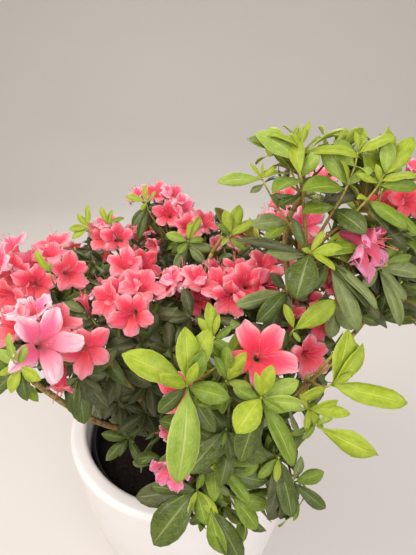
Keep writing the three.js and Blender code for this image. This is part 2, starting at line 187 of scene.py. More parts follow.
# The crown's masses, as in the model: name, what its bough forks from and at which share of
# that limb's length, its middle, how far it reaches, its leaf's length, its shoots and how
# many of them end in blossom.
CROWN = [
    ("left_near", "trunk", 0.25, -80, -154, 628, 80, 50, 5, 3),
    ("left_far", "trunk", 0.7, -144, -48, 626, 78, 46, 5, 4),
    ("left_inner", "left_far", 0.45, -78, -14, 614, 70, 44, 4, 3),
    ("left_tip", "left_near", 0.08, -142, -192, 630, 48, 46, 4, 0),
    ("centre_left", "left_far", 0.3, -42, -70, 596, 72, 44, 5, 3),
    ("back_left", "trunk", 0.9, -90, 74, 610, 76, 48, 4, 3),
    ("back_mid", "trunk", 0.95, -30, 106, 650, 76, 46, 4, 3),
    ("back_right", "back_mid", 0.5, 26, 74, 618, 72, 44, 4, 2),
    ("back_low_left", "back_left", 0.5, -158, 120, 562, 90, 50, 5, 3),
    ("back_low_mid", "back_mid", 0.45, -46, 200, 572, 86, 48, 5, 3),
    ("back_low_right", "back_mid", 0.35, 78, 176, 590, 82, 48, 4, 2),
    ("centre", "trunk", 1.0, 10, -46, 604, 72, 42, 4, 3),
    ("centre_right", "centre", 0.45, 62, -26, 600, 72, 42, 4, 3),
    ("centre_shoot", "centre", 0.6, 54, -2, 688, 56, 46, 3, 0),
    ("right_hub", "trunk", 0.85, 138, -108, 704, 54, 46, 4, 0),
    ("right_top", "right_hub", 0.75, 132, -98, 778, 62, 48, 5, 0),
    ("right_crest", "right_hub", 0.65, 198, -84, 762, 66, 48, 4, 0),
    ("right_faded", "right_hub", 0.6, 194, -112, 684, 62, 46, 4, 1),
    ("right_low", "right_hub", 0.4, 226, -92, 634, 76, 48, 4, 0),
    ("right_under", "right_hub", 0.35, 136, -116, 596, 68, 44, 4, 3),
    ("right_back", "right_hub", 0.3, 176, 60, 626, 82, 48, 5, 3),
    ("right_outer", "right_back", 0.45, 270, -14, 670, 80, 48, 4, 2),
    ("front_middle", "trunk", 0.8, 64, -180, 634, 74, 48, 4, 1),
    ("front_left", "front_middle", 0.6, 16, -228, 648, 76, 52, 5, 0),
    ("front_right", "front_middle", 0.55, 124, -220, 644, 80, 54, 5, 0),
    ("low_front", "front_middle", 0.45, 34, -200, 512, 76, 50, 5, 0),
    ("low_right", "front_middle", 0.4, 112, -188, 502, 74, 48, 4, 0),
    ("inner_low", "trunk", 0.5, -68, -62, 462, 64, 42, 4, 0),
]

# Masses whose leaves are this spring's, bright and thin, and masses that are all in leaf.
SPRING_MASSES = {"front_left", "front_right", "right_top", "right_crest", "centre_shoot"}
GREEN_MASSES = {"front_middle", "left_tip", "low_front", "low_right", "right_hub", "right_faded",
                "right_outer"}

# The tint of a spray's odd older leaf
OLDER = {"spring": "green", "green": "mature"}

# The photograph's view
CAMERA_PLACE = Vector((33, -488, 880)) * MM
CAMERA_PITCH = math.radians(62)
CAMERA_LENS = 27.05
CAMERA_SENSOR = 36
VIEW_WIDTH = 416
VIEW_HEIGHT = 555
VIEW_FOCUS = CAMERA_LENS / CAMERA_SENSOR * VIEW_HEIGHT
LOOKING = Vector((0, math.sin(CAMERA_PITCH), -math.cos(CAMERA_PITCH)))
VIEW_UP = Vector((0, math.cos(CAMERA_PITCH), math.sin(CAMERA_PITCH)))

# Blossoms that stand out in the view: the mass that carries each, where its face is in the
# 416 by 555 view and how deep, the way it faces (right, up and towards the eye), its size
# as a share of a usual one, its tint, and how far its upper lobe is turned from upright.
# The red tint is a deeper colour that is partly painted shade: it stands in for blossoms that lie in
# shade.
BLOOMS = [
    ("left_near", 46, 342, 0.355, 0.6, 0.25, 0.75, 1.15, "pale", 28),
    ("left_near", 32, 309, 0.39, -0.1, 0.8, 0.5, 0.9, "pale", 0),
    ("left_near", 10, 326, 0.385, -0.5, 0.4, 0.7, 0.9, "coral", 0),
    ("left_near", 57, 320, 0.40, 0.4, 0.7, 0.5, 0.84, "coral", 0),
    ("left_near", 88, 350, 0.40, 0.5, -0.1, 0.8, 0.85, "coral", 10),
    ("left_near", 61, 386, 0.39, -0.1, -0.9, 0.35, 0.74, "red", 0),
    ("left_far", 10, 246, 0.49, -0.4, 0.7, 0.6, 0.88, "pink", 20),
    ("left_far", 30, 262, 0.48, 0.2, 0.7, 0.6, 0.88, "pink", 0),
    ("left_far", 13, 274, 0.465, -0.1, 0.2, 0.95, 0.95, "coral", 10),
    ("left_far", 36, 284, 0.46, 0.4, 0.0, 0.9, 0.85, "coral", -20),
    ("left_far", -2, 262, 0.46, -0.7, 0.2, 0.7, 0.85, "pink", 0),
    ("left_far", 70, 271, 0.47, 0.6, 0.1, 0.75, 0.92, "coral", -15),
    ("left_far", 50, 252, 0.50, 0.1, 0.8, 0.5, 0.8, "coral", 0),
    ("left_far", 8, 298, 0.45, -0.4, -0.4, 0.8, 0.8, "red", 0),
    ("left_inner", 125, 263, 0.50, 0.0, 0.5, 0.8, 0.92, "coral", 0),
    ("left_inner", 142, 284, 0.47, 0.3, 0.7, 0.6, 0.95, "coral", 0),
    ("left_inner", 147, 264, 0.52, 0.6, 0.3, 0.6, 0.8, "red", 0),
    ("back_left", 102, 237, 0.60, -0.3, 0.1, 0.95, 0.92, "coral", 10),
    ("back_left", 118, 238, 0.59, 0.4, 0.1, 0.9, 0.88, "coral", -10),
    ("back_left", 106, 222, 0.61, -0.1, 0.8, 0.5, 0.8, "pink", 0),
    ("back_mid", 137, 194, 0.64, -0.5, 0.6, 0.6, 0.8, "pink", 0),
    ("back_mid", 157, 192, 0.63, -0.1, 0.6, 0.8, 0.9, "coral", 0),
    ("back_mid", 175, 193, 0.63, 0.4, 0.7, 0.6, 0.85, "pink", 0),
    ("back_mid", 184, 207, 0.615, 0.5, 0.3, 0.8, 0.88, "pink", 0),
    ("back_mid", 168, 214, 0.61, -0.1, 0.1, 1.0, 0.85, "coral", 0),
    ("back_mid", 153, 245, 0.60, -0.5, -0.4, 0.7, 0.74, "coral", 30),
    ("back_right", 189, 226, 0.60, 0.0, 0.3, 0.9, 0.9, "coral", 0),
    ("back_right", 206, 222, 0.61, 0.5, 0.4, 0.7, 0.85, "coral", 0),
    ("back_right", 217, 243, 0.60, -0.3, 0.3, 0.8, 0.72, "pink", 0),
    ("centre_left", 106, 300, 0.455, -0.5, 0.1, 0.85, 0.88, "coral", 0),
    ("centre_left", 132, 315, 0.44, 0.0, -0.1, 1.0, 0.92, "coral", 35),
    ("centre_left", 122, 289, 0.47, -0.1, 0.5, 0.8, 0.85, "coral", 0),
    ("centre_left", 84, 300, 0.47, -0.3, 0.9, 0.2, 0.72, "coral", 0),
    ("centre", 166, 284, 0.48, -0.6, 0.6, 0.5, 0.92, "coral", 0),
    ("centre", 184, 276, 0.485, 0.0, 0.8, 0.5, 0.92, "pink", 0),
    ("centre", 201, 280, 0.475, 0.5, 0.7, 0.5, 0.92, "coral", 0),
    ("centre", 200, 300, 0.48, 0.5, 0.1, 0.8, 0.8, "red", 0),
    ("centre_right", 218, 281, 0.48, -0.4, 0.7, 0.6, 0.88, "coral", 0),
    ("centre_right", 248, 283, 0.465, 0.1, 0.3, 0.95, 0.92, "coral", 10),
    ("centre_right", 229, 299, 0.46, -0.3, -0.2, 0.9, 0.88, "coral", 0),
    ("centre_right", 238, 267, 0.495, 0.0, 0.8, 0.5, 0.85, "coral", 0),
    ("centre_right", 266, 264, 0.50, 0.3, 0.6, 0.7, 0.88, "coral", 0),
    ("centre_right", 282, 257, 0.53, 0.5, 0.5, 0.7, 0.85, "coral", 0),
    ("centre_right", 236, 243, 0.54, -0.1, 0.6, 0.7, 0.74, "pink", 0),
    ("centre_right", 268, 286, 0.475, 0.6, 0.1, 0.8, 0.8, "red", 0),
    ("front_middle", 260, 355, 0.335, 0.0, 0.3, 0.95, 1.1, "coral", -40),
    ("right_under", 293, 313, 0.43, 0.1, 0.9, 0.3, 0.78, "red", 0),
    ("right_under", 321, 320, 0.45, 0.5, 0.1, 0.8, 0.8, "red", 0),
    ("right_under", 310, 356, 0.415, 0.3, 0.0, 0.95, 0.9, "coral", 0),
    ("right_under", 336, 280, 0.47, 0.3, 0.4, 0.8, 0.88, "red", 0),
    ("right_faded", 371, 240, 0.39, 0.7, -0.25, 0.65, 1.38, "faded", 10),
    ("right_back", 284, 198, 0.58, -0.4, 0.5, 0.7, 0.85, "red", 0),
    ("right_back", 277, 222, 0.56, -0.5, 0.4, 0.8, 0.88, "pink", 0),
    ("right_back", 308, 222, 0.55, 0.2, 0.3, 0.9, 0.9, "pink", 0),
    ("right_back", 325, 176, 0.58, 0.0, 0.6, 0.7, 0.85, "pink", 0),
    ("right_outer", 384, 203, 0.48, -0.3, 0.2, 0.9, 0.82, "red", 0),
    ("right_outer", 408, 200, 0.47, 0.3, 0.1, 0.9, 0.82, "red", 0),
    ("right_outer", 414, 166, 0.50, 0.4, 0.6, 0.7, 0.85, "pink", 0),
    ("low_front", 172, 468, 0.372, -0.15, -0.3, 0.9, 0.8, "faded", -15),
    ("front_left", 181, 396, 0.34, -0.5, -0.2, 0.8, 0.86, "coral", 0),
    ("inner_low", 167, 432, 0.42, -0.5, 0.0, 0.8, 0.6, "pink", 0),
]

# Sprays of leaves that stand out in the view: the mass that carries each, where its shoot's
# tip shows and how deep, the way the shoot grows (right, up and towards the eye), and its
# leaves: how many millimetres down the shoot each springs, where its tip shows, how many
# millimetres nearer to the eye that is, its tint, and its width as a share of a usual one.
SPRAYS = [
    ("front_left", 187, 384, 0.315, 0.0, 0.6, 0.8, [
        (1, 122, 354, 4, "spring", 1.05), (4, 160, 376, 22, "spring", 1.0),
        (0, 185, 327, -4, "spring", 1.1), (1, 210, 328, -8, "spring", 1.0),
        (3, 204, 350, 4, "green", 1.2), (7, 230, 398, 4, "green", 1.3), (9, 177, 483, 2, "young", 1.02),
        (12, 158, 412, -14, "mature", 1.1), (14, 215, 432, -8, "mature", 1.0),
        (2, 197, 362, 10, "spring", 0.9),
    ]),
    ("front_left", 214, 336, 0.335, 0.1, 0.9, 0.4, [
        (0, 208, 302, 0, "spring", 1.0), (0, 219, 314, 2, "spring", 0.8),
        (3, 198, 318, 0, "spring", 0.9), (4, 230, 352, 8, "green", 1.2),
        (6, 232, 326, -2, "green", 0.9),
    ]),
    ("front_middle", 262, 397, 0.30, 0.05, 0.6, 0.8, [
        (2, 236, 433, 10, "spring", 1.75), (3, 303, 403, 2, "young", 1.1),
        (0, 272, 365, 2, "spring", 1.2), (5, 299, 381, -6, "young", 1.1),
        (6, 233, 388, -4, "green", 1.2), (6, 293, 466, 0, "green", 0.85),
        (0, 255, 372, 6, "spring", 0.8), (10, 240, 462, -12, "mature", 1.1),
        (1, 286, 412, 12, "green", 1.0),
    ]),
    ("front_middle", 226, 380, 0.325, -0.1, 0.7, 0.7, [
        (0, 214, 356, 0, "green", 1.0), (0, 227, 346, 2, "green", 1.1), (1, 244, 362, 2, "spring", 1.0),
        (3, 193, 404, 2, "green", 1.3), (4, 252, 388, 2, "young", 1.1), (6, 222, 414, -2, "green", 1.1),
        (0, 246, 352, 4, "spring", 1.0),
    ]),
    ("front_middle", 226, 430, 0.36, 0.0, 0.4, 0.9, [
        (0, 187, 473, 2, "mature", 1.1), (0, 222, 446, 4, "green", 0.9),
        (3, 266, 461, -4, "mature", 1.2), (4, 232, 462, -4, "mature", 1.0),
    ]),
    ("front_right", 331, 385, 0.325, 0.35, 0.55, 0.75, [
        (0, 348, 329, 0, "spring", 1.2), (1, 363, 343, -2, "spring", 0.9),
        (1, 407, 404, 4, "spring", 0.85), (6, 300, 398, 2, "spring", 1.1),
        (2, 352, 372, 4, "spring", 0.8),
    ]),
    ("front_right", 308, 409, 0.32, 0.2, 0.3, 0.9, [
        (0, 338, 400, 2, "spring", 1.3), (1, 350, 414, 4, "spring", 0.85),
        (0, 306, 432, 6, "spring", 0.8), (2, 284, 405, -4, "young", 1.0),
        (3, 323, 428, 2, "spring", 1.0), (0, 300, 394, 4, "spring", 0.7),
    ]),
    ("front_right", 317, 425, 0.315, 0.3, 0.2, 0.9, [
        (0, 378, 456, 6, "spring", 0.95), (2, 302, 439, 4, "green", 0.9),
        (2, 335, 411, 0, "young", 0.9), (5, 290, 434, -4, "green", 1.0),
    ]),
    ("low_front", 197, 490, 0.385, -0.1, 0.2, 0.95, [
        (2, 153, 544, 4, "mature", 1.35), (0, 207, 526, 6, "green", 1.25),
        (2, 152, 486, 2, "mature", 1.1), (0, 188, 513, 8, "spring", 0.9),
        (1, 218, 516, 6, "spring", 0.9), (9, 136, 497, -6, "old", 1.1), (0, 203, 474, 6, "green", 1.0),
        (5, 168, 508, -2, "green", 1.0),
    ]),
    ("low_front", 211, 508, 0.38, 0.1, 0.1, 0.9, [
        (0, 225, 555, 6, "green", 1.2), (2, 241, 563, -2, "mature", 1.0),
        (3, 190, 524, -4, "mature", 1.0),
    ]),
    ("low_front", 232, 497, 0.385, 0.4, 0.1, 0.9, [
        (0, 257, 529, 4, "green", 1.3), (2, 272, 504, 2, "green", 1.0), (3, 218, 484, 0, "olive", 1.2),
    ]),
    ("low_front", 221, 467, 0.37, 0.1, 0.5, 0.8, [
        (1, 250, 504, 8, "green", 0.85), (0, 214, 452, 2, "spring", 1.0),
        (4, 259, 466, 0, "green", 1.3), (1, 210, 468, 8, "spring", 1.1),
        (3, 268, 481, -4, "mature", 1.0), (4, 186, 466, -4, "old", 1.0),
    ]),
    ("low_right", 279, 458, 0.37, 0.2, 0.2, 0.9, [
        (4, 292, 517, 2, "mature", 1.1), (3, 268, 514, -2, "old", 1.0), (2, 258, 478, 4, "green", 1.0),
        (1, 276, 482, 8, "spring", 0.9), (9, 299, 440, -8, "mature", 1.0),
        (6, 252, 452, -6, "mature", 1.1),
    ]),
    ("low_right", 294, 482, 0.40, 0.6, 0.1, 0.75, [
        (0, 324, 472, 0, "green", 1.2), (1, 325, 509, 0, "mature", 0.9), (5, 280, 519, -2, "old", 1.1),
        (2, 301, 456, -4, "olive", 1.1), (7, 268, 520, 0, "old", 1.1),
    ]),
    ("left_tip", 18, 365, 0.336, -0.2, 0.5, 0.85, [
        (1, 9, 333, 0, "young", 1.0), (2, 26, 345, 0, "young", 1.0), (1, -1, 375, 6, "spring", 1.1),
        (2, 41, 380, 4, "spring", 1.2), (3, 11, 393, 4, "spring", 1.2), (7, 27, 401, -4, "mature", 1.1),
        (0, 12, 356, 10, "spring", 0.8), (6, -6, 392, -4, "mature", 1.1), (5, -4, 350, 0, "young", 1.0),
    ]),
    ("left_near", 78, 378, 0.42, 0.3, 0.1, 0.9, [
        (1, 92, 358, 6, "old", 1.1), (2, 102, 392, 2, "old", 1.0), (3, 72, 414, 2, "mature", 1.2),
        (4, 118, 348, -4, "mature", 0.9), (6, 52, 388, -4, "olive", 1.1), (2, 94, 404, 2, "old", 1.1),
        (5, 84, 424, -4, "mature", 1.2), (7, 108, 408, -6, "old", 1.1), (7, 108, 374, -4, "old", 1.0),
    ]),
    ("left_far", 50, 272, 0.455, 0.0, 0.9, 0.3, [
        (1, 36, 250, 0, "spring", 0.9), (0, 53, 264, 2, "young", 0.8), (2, 48, 262, 6, "young", 0.7),
    ]),
    ("left_far", 62, 302, 0.48, 0.2, 0.4, 0.8, [
        (1, 84, 312, 2, "olive", 1.1), (2, 92, 292, -2, "mature", 1.0), (3, 40, 304, 0, "old", 1.1),
        (1, 74, 326, 4, "mature", 1.0), (5, 90, 328, 0, "olive", 1.0),
    ]),
    ("back_left", 88, 226, 0.60, -0.2, 0.9, 0.2, [
        (0, 88, 205, 0, "spring", 1.0), (2, 69, 229, 2, "spring", 1.1), (4, 72, 239, 4, "spring", 1.2),
        (2, 77, 214, 0, "spring", 1.0),
    ]),
    ("back_left", 108, 224, 0.60, 0.1, 0.9, 0.2, [
        (0, 101, 207, 0, "spring", 1.0), (1, 112, 210, 0, "spring", 1.0),
        (2, 124, 218, 2, "green", 1.0), (6, 133, 246, 0, "mature", 0.7),
    ]),
    ("back_mid", 146, 202, 0.60, 0.0, 0.8, 0.5, [
        (0, 146, 185, 0, "spring", 0.9), (1, 125, 197, 2, "spring", 1.0),
        (1, 141, 210, 6, "spring", 1.2), (2, 156, 191, 0, "young", 0.8),
        (6, 132, 226, 0, "mature", 1.0), (7, 138, 240, -4, "mature", 0.7),
    ]),
    ("back_right", 188, 240, 0.57, 0.1, 0.8, 0.4, [
        (0, 190, 222, 0, "spring", 0.9), (2, 166, 234, 2, "young", 1.2), (3, 178, 254, 4, "green", 1.5),
        (3, 204, 240, 2, "green", 1.3), (1, 200, 216, -4, "spring", 0.8),
        (6, 214, 250, 0, "olive", 1.0), (8, 174, 268, 0, "olive", 1.0), (9, 206, 264, 0, "olive", 1.0),
    ]),
    ("centre_shoot", 231, 234, 0.50, 0.1, 0.95, 0.2, [
        (0, 225, 210, 0, "spring", 1.2), (1, 240, 205, 0, "spring", 1.2),
        (3, 256, 221, 0, "spring", 1.1), (4, 217, 224, 2, "green", 0.9), (8, 222, 246, 4, "young", 1.3),
        (9, 246, 250, 4, "green", 1.0),
    ]),
    ("right_top", 301, 146, 0.385, 0.0, 1.0, 0.1, [
        (0, 297, 127, 0, "spring", 0.8), (0, 304, 126, 3, "spring", 0.8),
        (0, 310, 122, 0, "spring", 0.8), (2, 293, 134, 4, "spring", 0.8),
        (3, 267, 136, 6, "spring", 0.55), (7, 358, 157, 6, "spring", 0.5),
        (17, 254, 133, 0, "young", 1.0), (28, 319, 151, 6, "young", 1.3),
        (31, 273, 193, 12, "green", 1.55), (44, 278, 206, -6, "mature", 1.0),
    ]),
    ("right_top", 262, 178, 0.40, -0.4, 0.8, 0.3, [
        (2, 217, 182, 2, "young", 0.75), (0, 250, 163, 0, "spring", 0.6),
        (0, 277, 166, 2, "spring", 0.9), (0, 263, 163, 2, "spring", 0.6),
        (6, 250, 193, 0, "olive", 1.1), (18, 295, 198, 4, "mature", 0.9),
        (16, 286, 210, -2, "mature", 0.8), (50, 251, 225, 4, "olive", 1.15),
        (54, 263, 241, 4, "green", 0.8),
    ]),
    ("right_crest", 358, 152, 0.385, 0.1, 1.0, 0.2, [
        (0, 365, 129, 0, "spring", 0.8), (0, 355, 131, 2, "spring", 0.8),
        (2, 396, 137, 4, "spring", 1.0), (2, 376, 140, -4, "spring", 0.9),
        (14, 334, 140, 4, "young", 1.5), (32, 322, 144, -2, "young", 1.2),
        (32, 339, 159, 6, "spring", 0.7), (36, 301, 191, 10, "green", 1.25),
        (32, 374, 169, -2, "young", 1.0), (54, 302, 213, -2, "green", 1.2),
        (56, 366, 233, 8, "mature", 1.4),
    ]),
    ("right_crest", 384, 174, 0.385, 0.3, 0.9, 0.3, [
        (0, 388, 141, 2, "young", 1.3), (1, 411, 149, 2, "spring", 1.0),
        (9, 356, 174, 4, "spring", 0.7), (8, 376, 164, 4, "spring", 0.9),
        (8, 417, 176, 6, "spring", 1.2), (11, 417, 188, 2, "green", 1.0),
        (2, 389, 126, -6, "spring", 0.9), (1, 414, 138, -6, "spring", 1.0),
        (26, 357, 199, 6, "spring", 0.9), (28, 407, 229, 6, "green", 0.9),
        (30, 388, 230, -2, "mature", 1.0),
    ]),
    ("right_hub", 311, 252, 0.39, 0.2, 0.5, 0.85, [
        (0, 302, 249, 8, "spring", 1.1), (1, 324, 231, 2, "spring", 0.9),
        (1, 343, 248, 4, "spring", 1.1), (2, 335, 270, 8, "spring", 1.0),
        (3, 296, 299, 10, "mature", 1.75), (6, 290, 216, 0, "mature", 0.6),
        (4, 359, 249, -2, "green", 1.0), (8, 235, 240, 0, "old", 0.3), (8, 266, 252, 0, "olive", 0.9),
    ]),
    ("right_low", 332, 262, 0.40, 0.5, 0.2, 0.8, [
        (2, 377, 309, 4, "olive", 0.55), (3, 369, 309, -4, "mature", 0.55),
        (5, 350, 284, 2, "mature", 0.9), (6, 316, 290, 2, "mature", 0.9),
        (4, 358, 332, -6, "olive", 0.7),
    ]),
    ("right_low", 380, 266, 0.42, 0.4, 0.5, 0.7, [
        (1, 406, 300, 6, "olive", 1.0), (3, 400, 326, 2, "olive", 0.55), (2, 412, 256, 0, "green", 1.0),
        (0, 398, 240, -2, "green", 1.0), (4, 362, 288, 2, "olive", 1.2),
        (5, 420, 275, -4, "olive", 1.0), (8, 392, 286, -4, "mature", 0.8),
    ]),
    ("right_under", 286, 291, 0.42, -0.2, 0.3, 0.9, [
        (1, 257, 322, 6, "mature", 1.2), (2, 236, 305, 2, "olive", 0.9), (0, 270, 273, 2, "old", 1.1),
        (3, 290, 322, 4, "old", 1.0), (4, 308, 300, -4, "old", 1.0), (6, 266, 336, -6, "old", 1.1),
    ]),
    ("right_under", 294, 329, 0.405, 0.2, 0.6, 0.7, [
        (0, 284, 304, 0, "spring", 0.9), (2, 336, 301, 4, "spring", 1.1),
        (5, 300, 342, 0, "young", 1.2),
    ]),
    ("right_under", 336, 300, 0.45, 0.3, 0.2, 0.9, [
        (1, 330, 338, 4, "olive", 1.4), (2, 352, 330, 2, "olive", 1.4),
        (2, 318, 300, -2, "mature", 1.0), (0, 350, 296, 4, "mature", 0.9),
    ]),
]

# Sprays whose shoots rise from another mass's stem
CARRIED_BY = {"right_top": "right_hub", "right_crest": "right_hub"}

# Dull rosettes that show deeper in the crown, most in the old tint, whose darker colour there
# is partly painted shade: mass, place in the view, way they grow, leaf's length in millimetres,
# leaves, and tint.
ROSETTES = [
    ("inner_low", 119, 402, 0.53, 0.0, 0.5, 0.85, 36, 8, "old"),
    ("inner_low", 146, 412, 0.52, 0.1, 0.4, 0.9, 38, 9, "old"),
    ("inner_low", 128, 438, 0.53, 0.0, 0.3, 0.9, 36, 8, "mature"),
    ("inner_low", 100, 384, 0.55, -0.2, 0.4, 0.9, 36, 7, "old"),
    ("centre_left", 104, 350, 0.46, -0.2, 0.2, 0.9, 42, 7, "mature"),
    ("centre_left", 140, 344, 0.46, 0.1, 0.2, 0.9, 42, 7, "old"),
    ("centre_left", 120, 366, 0.47, 0.0, 0.2, 0.9, 42, 8, "old"),
    ("left_near", 98, 322, 0.48, 0.0, 0.2, 0.9, 42, 8, "old"),
    ("centre_left", 102, 384, 0.49, -0.1, 0.1, 0.9, 42, 8, "old"),
    ("centre_left", 156, 336, 0.47, 0.1, 0.2, 0.9, 42, 8, "mature"),
    ("centre", 170, 352, 0.46, 0.0, 0.2, 0.9, 42, 8, "old"),
    ("inner_low", 150, 380, 0.5, 0.0, 0.4, 0.9, 40, 8, "old"),
    ("centre", 168, 322, 0.47, 0.0, 0.3, 0.9, 42, 7, "mature"),
    ("centre", 192, 318, 0.46, 0.1, 0.3, 0.9, 40, 7, "old"),
    ("centre_right", 216, 318, 0.46, 0.0, 0.3, 0.9, 42, 7, "old"),
    ("front_middle", 232, 440, 0.37, 0.0, 0.3, 0.9, 44, 7, "mature"),
    ("front_middle", 196, 430, 0.38, -0.2, 0.3, 0.9, 42, 7, "mature"),
]

# Parts of the view that no leaf crosses: left, top, right and bottom of each.
OPEN_VIEWS = [
    (60, 408, 106, 474), (-60, 400, 64, 620), (60, 474, 148, 620), (102, 240, 130, 262),
    (-60, 0, 64, 228), (196, 0, 216, 210), (240, 200, 250, 232), (118, 208, 136, 232),
    (303, 428, 480, 620), (360, 324, 480, 480), (296, 522, 480, 620), (64, 150, 124, 200),
    (216, 190, 248, 202), (100, 440, 128, 474), (216, -60, 480, 122), (292, 214, 332, 244),
    (270, 530, 300, 620),
]

# Parts of the view where no blossom shows but the chosen ones
LEAFY_VIEWS = [
    (-60, 366, 480, 620), (384, 226, 480, 400), (225, 100, 400, 184), (66, 358, 140, 400),
    (330, 220, 384, 260), (206, 190, 262, 234), (140, 330, 340, 366),
]


def seen(across, down, depth):
    """The place that shows at a pixel of the photograph's view, this deep along the view."""
    right = (across - VIEW_WIDTH / 2) / VIEW_FOCUS
    rise = (VIEW_HEIGHT / 2 - down) / VIEW_FOCUS
    return CAMERA_PLACE + depth * (LOOKING + right * SIDEWAYS + rise * VIEW_UP)


def view_spot(place):
    """Where a place shows in that view, and how deep it is."""
    offset = place - CAMERA_PLACE
    depth = offset.dot(LOOKING)
    across = VIEW_WIDTH / 2 + VIEW_FOCUS * offset.dot(SIDEWAYS) / depth
    down = VIEW_HEIGHT / 2 - VIEW_FOCUS * offset.dot(VIEW_UP) / depth
    return across, down, depth


def in_views(place, views):
    """True where a place shows in one of these parts of the view."""
    across, down, _ = view_spot(place)
    return any(left < across < right and top < down < bottom for left, top, right, bottom in views)


def towards(right, up, near):
    """A direction given by how far it points right, up and towards the eye in that view."""
    return (right * SIDEWAYS + up * VIEW_UP - near * LOOKING).normalized()


def seeded(seed):
    """A repeatable stream of numbers from 0 up to 1, the same as the model's."""
    state = seed

    def draw():
        nonlocal state
        state = (state * 1664525 + 1013904223) % 4294967296
        return state / 4294967296

    return draw


def stream(seeds, *rows):
    """The repeatable stream of one row of a table, or of one twig."""
    first, *steps = seeds
    return seeded(first + sum(step * row for step, row in zip(steps, rows)))


def tilted(axis, tilt, around):
    """A direction tilted away from an axis, at an angle around it."""
    side = axis.cross(UP if abs(axis.z) < 0.9 else SIDEWAYS).normalized()
    side.rotate(Quaternion(axis, around))
    return axis * math.cos(tilt) + side * math.sin(tilt)


# Shapes and pieces


def mesh_from(bm, name):
    """A mesh made from a bmesh, which is then let go."""
    mesh = bpy.data.meshes.new(name)
    bm.to_mesh(mesh)
    bm.free()
    return mesh


def in_scene(name, data):
    """A new object of this name, put in the scene."""
    thing = bpy.data.objects.new(name, data)
    bpy.context.scene.collection.objects.link(thing)
    return thing


def read(items, name, width, kind):
    """One property of all of a mesh's items, as a flat array."""
    values = np.empty(len(items) * width, dtype=kind)
    items.foreach_get(name, values)
    return values


class Shape:
    """A modelled shape as arrays, ready to be copied into a pile. The faces of these numbers
    are shaded flat."""

    def __init__(self, bm, flat=()):
        for face in bm.faces:
            face.smooth = face.index not in flat
        mesh = mesh_from(bm, "shape")
        self.points = read(mesh.vertices, "co", 3, float).reshape(-1, 3)
        self.corners = read(mesh.loops, "vertex_index", 1, np.int32)
        self.sizes = read(mesh.polygons, "loop_total", 1, np.int32)
        self.smooth = read(mesh.polygons, "use_smooth", 1, bool)
        self.map = np.zeros(len(mesh.loops) * 2, dtype=np.float32)
        if mesh.uv_layers:
            self.map = read(mesh.uv_layers[0].data, "uv", 2, np.float32)
        bpy.data.meshes.remove(mesh)


class Pile:
    """Copies of shapes that are joined into one piece."""

    def __init__(self):
        self.points, self.corners, self.sizes, self.smooth, self.maps = [], [], [], [], []
        self.count = 0

    def put(self, shape, points):
        """One copy, with its points where these are."""
        self.points.append(points)
        self.corners.append(shape.corners + self.count)
        self.sizes.append(shape.sizes)
        self.smooth.append(shape.smooth)
        self.maps.append(shape.map)
        self.count += len(points)

    def place(self, shape, root, side, along, top, size):
        """One copy whose X, Y and Z run along three directions."""
        axes = np.array([side, along, top]) * size
        self.put(shape, shape.points @ axes + np.array(root))

    def draw(self, shape, curve, foot, tip):
        """A bar bent along a curve, tapering evenly from its foot to its tip."""
        self.put(shape, bent(shape, curve, lambda share, angle: foot + (tip - foot) * share))

    def piece(self, name, material, slot, replaced=()):
        """All the copies, joined as one piece."""
        mesh = bpy.data.meshes.new(name)
        points = np.concatenate(self.points).astype(np.float32)
        corners = np.concatenate(self.corners).astype(np.int32)
        sizes = np.concatenate(self.sizes)
        starts = np.concatenate([[0], np.cumsum(sizes)[:-1]]).astype(np.int32)
        mesh.vertices.add(len(points))
        mesh.vertices.foreach_set("co", points.ravel())
        mesh.loops.add(len(corners))
        mesh.loops.foreach_set("vertex_index", corners)
        mesh.polygons.add(len(sizes))
        mesh.polygons.foreach_set("loop_start", starts)
        mesh.update(calc_edges=True)
        mesh.polygons.foreach_set("use_smooth", np.concatenate(self.smooth))
        layer = mesh.uv_layers.new(name=MAP)
        layer.data.foreach_set("uv", np.concatenate(self.maps))
        mesh.update()
        finished(mesh, name, material, replaced)


def finished(mesh, name, material, replaced=()):
    """A piece of the plant or planter in its place, with its material."""
    piece = in_scene(name, mesh)
    mesh.materials.append(material)
    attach(piece, "root")
    if replaced:
        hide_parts(*replaced)


# Materials


def tint(text):
    """An sRGB hex colour as the linear colour that a shader takes."""
    parts = [int(text[i : i + 2], 16) / 255 for i in (1, 3, 5)]
    linear = [c / 12.92 if c <= 0.04045 else ((c + 0.055) / 1.055) ** 2.4 for c in parts]
    return (*linear, 1.0)


def add(material, kind, inputs=None, **settings):
    """One node in a material. An input is a number, a colour or the socket that feeds it."""
    node = material.node_tree.nodes.new(kind)
    for name, value in settings.items():
        setattr(node, name, value)
    for name, value in (inputs or {}).items():
        if isinstance(value, bpy.types.NodeSocket):
            material.node_tree.links.new(value, node.inputs[name])
        else:
            node.inputs[name].default_value = value
    return node


def surface(name, inputs):
    """A material with one principled shader, whose sockets take these values."""
    material = bpy.data.materials.new(name)
    material.use_nodes = True
    shader = material.node_tree.nodes["Principled BSDF"]
    for socket, value in inputs.items():
        shader.inputs[socket].default_value = value
    return material, shader


def feed(material, shader, **sources):
    """Links the sockets that patterns give to the shader's own sockets."""
    names = {"colour": "Base Color", "roughness": "Roughness", "normal": "Normal"}
    for name, source in sources.items():
        material.node_tree.links.new(source, shader.inputs[names[name]])


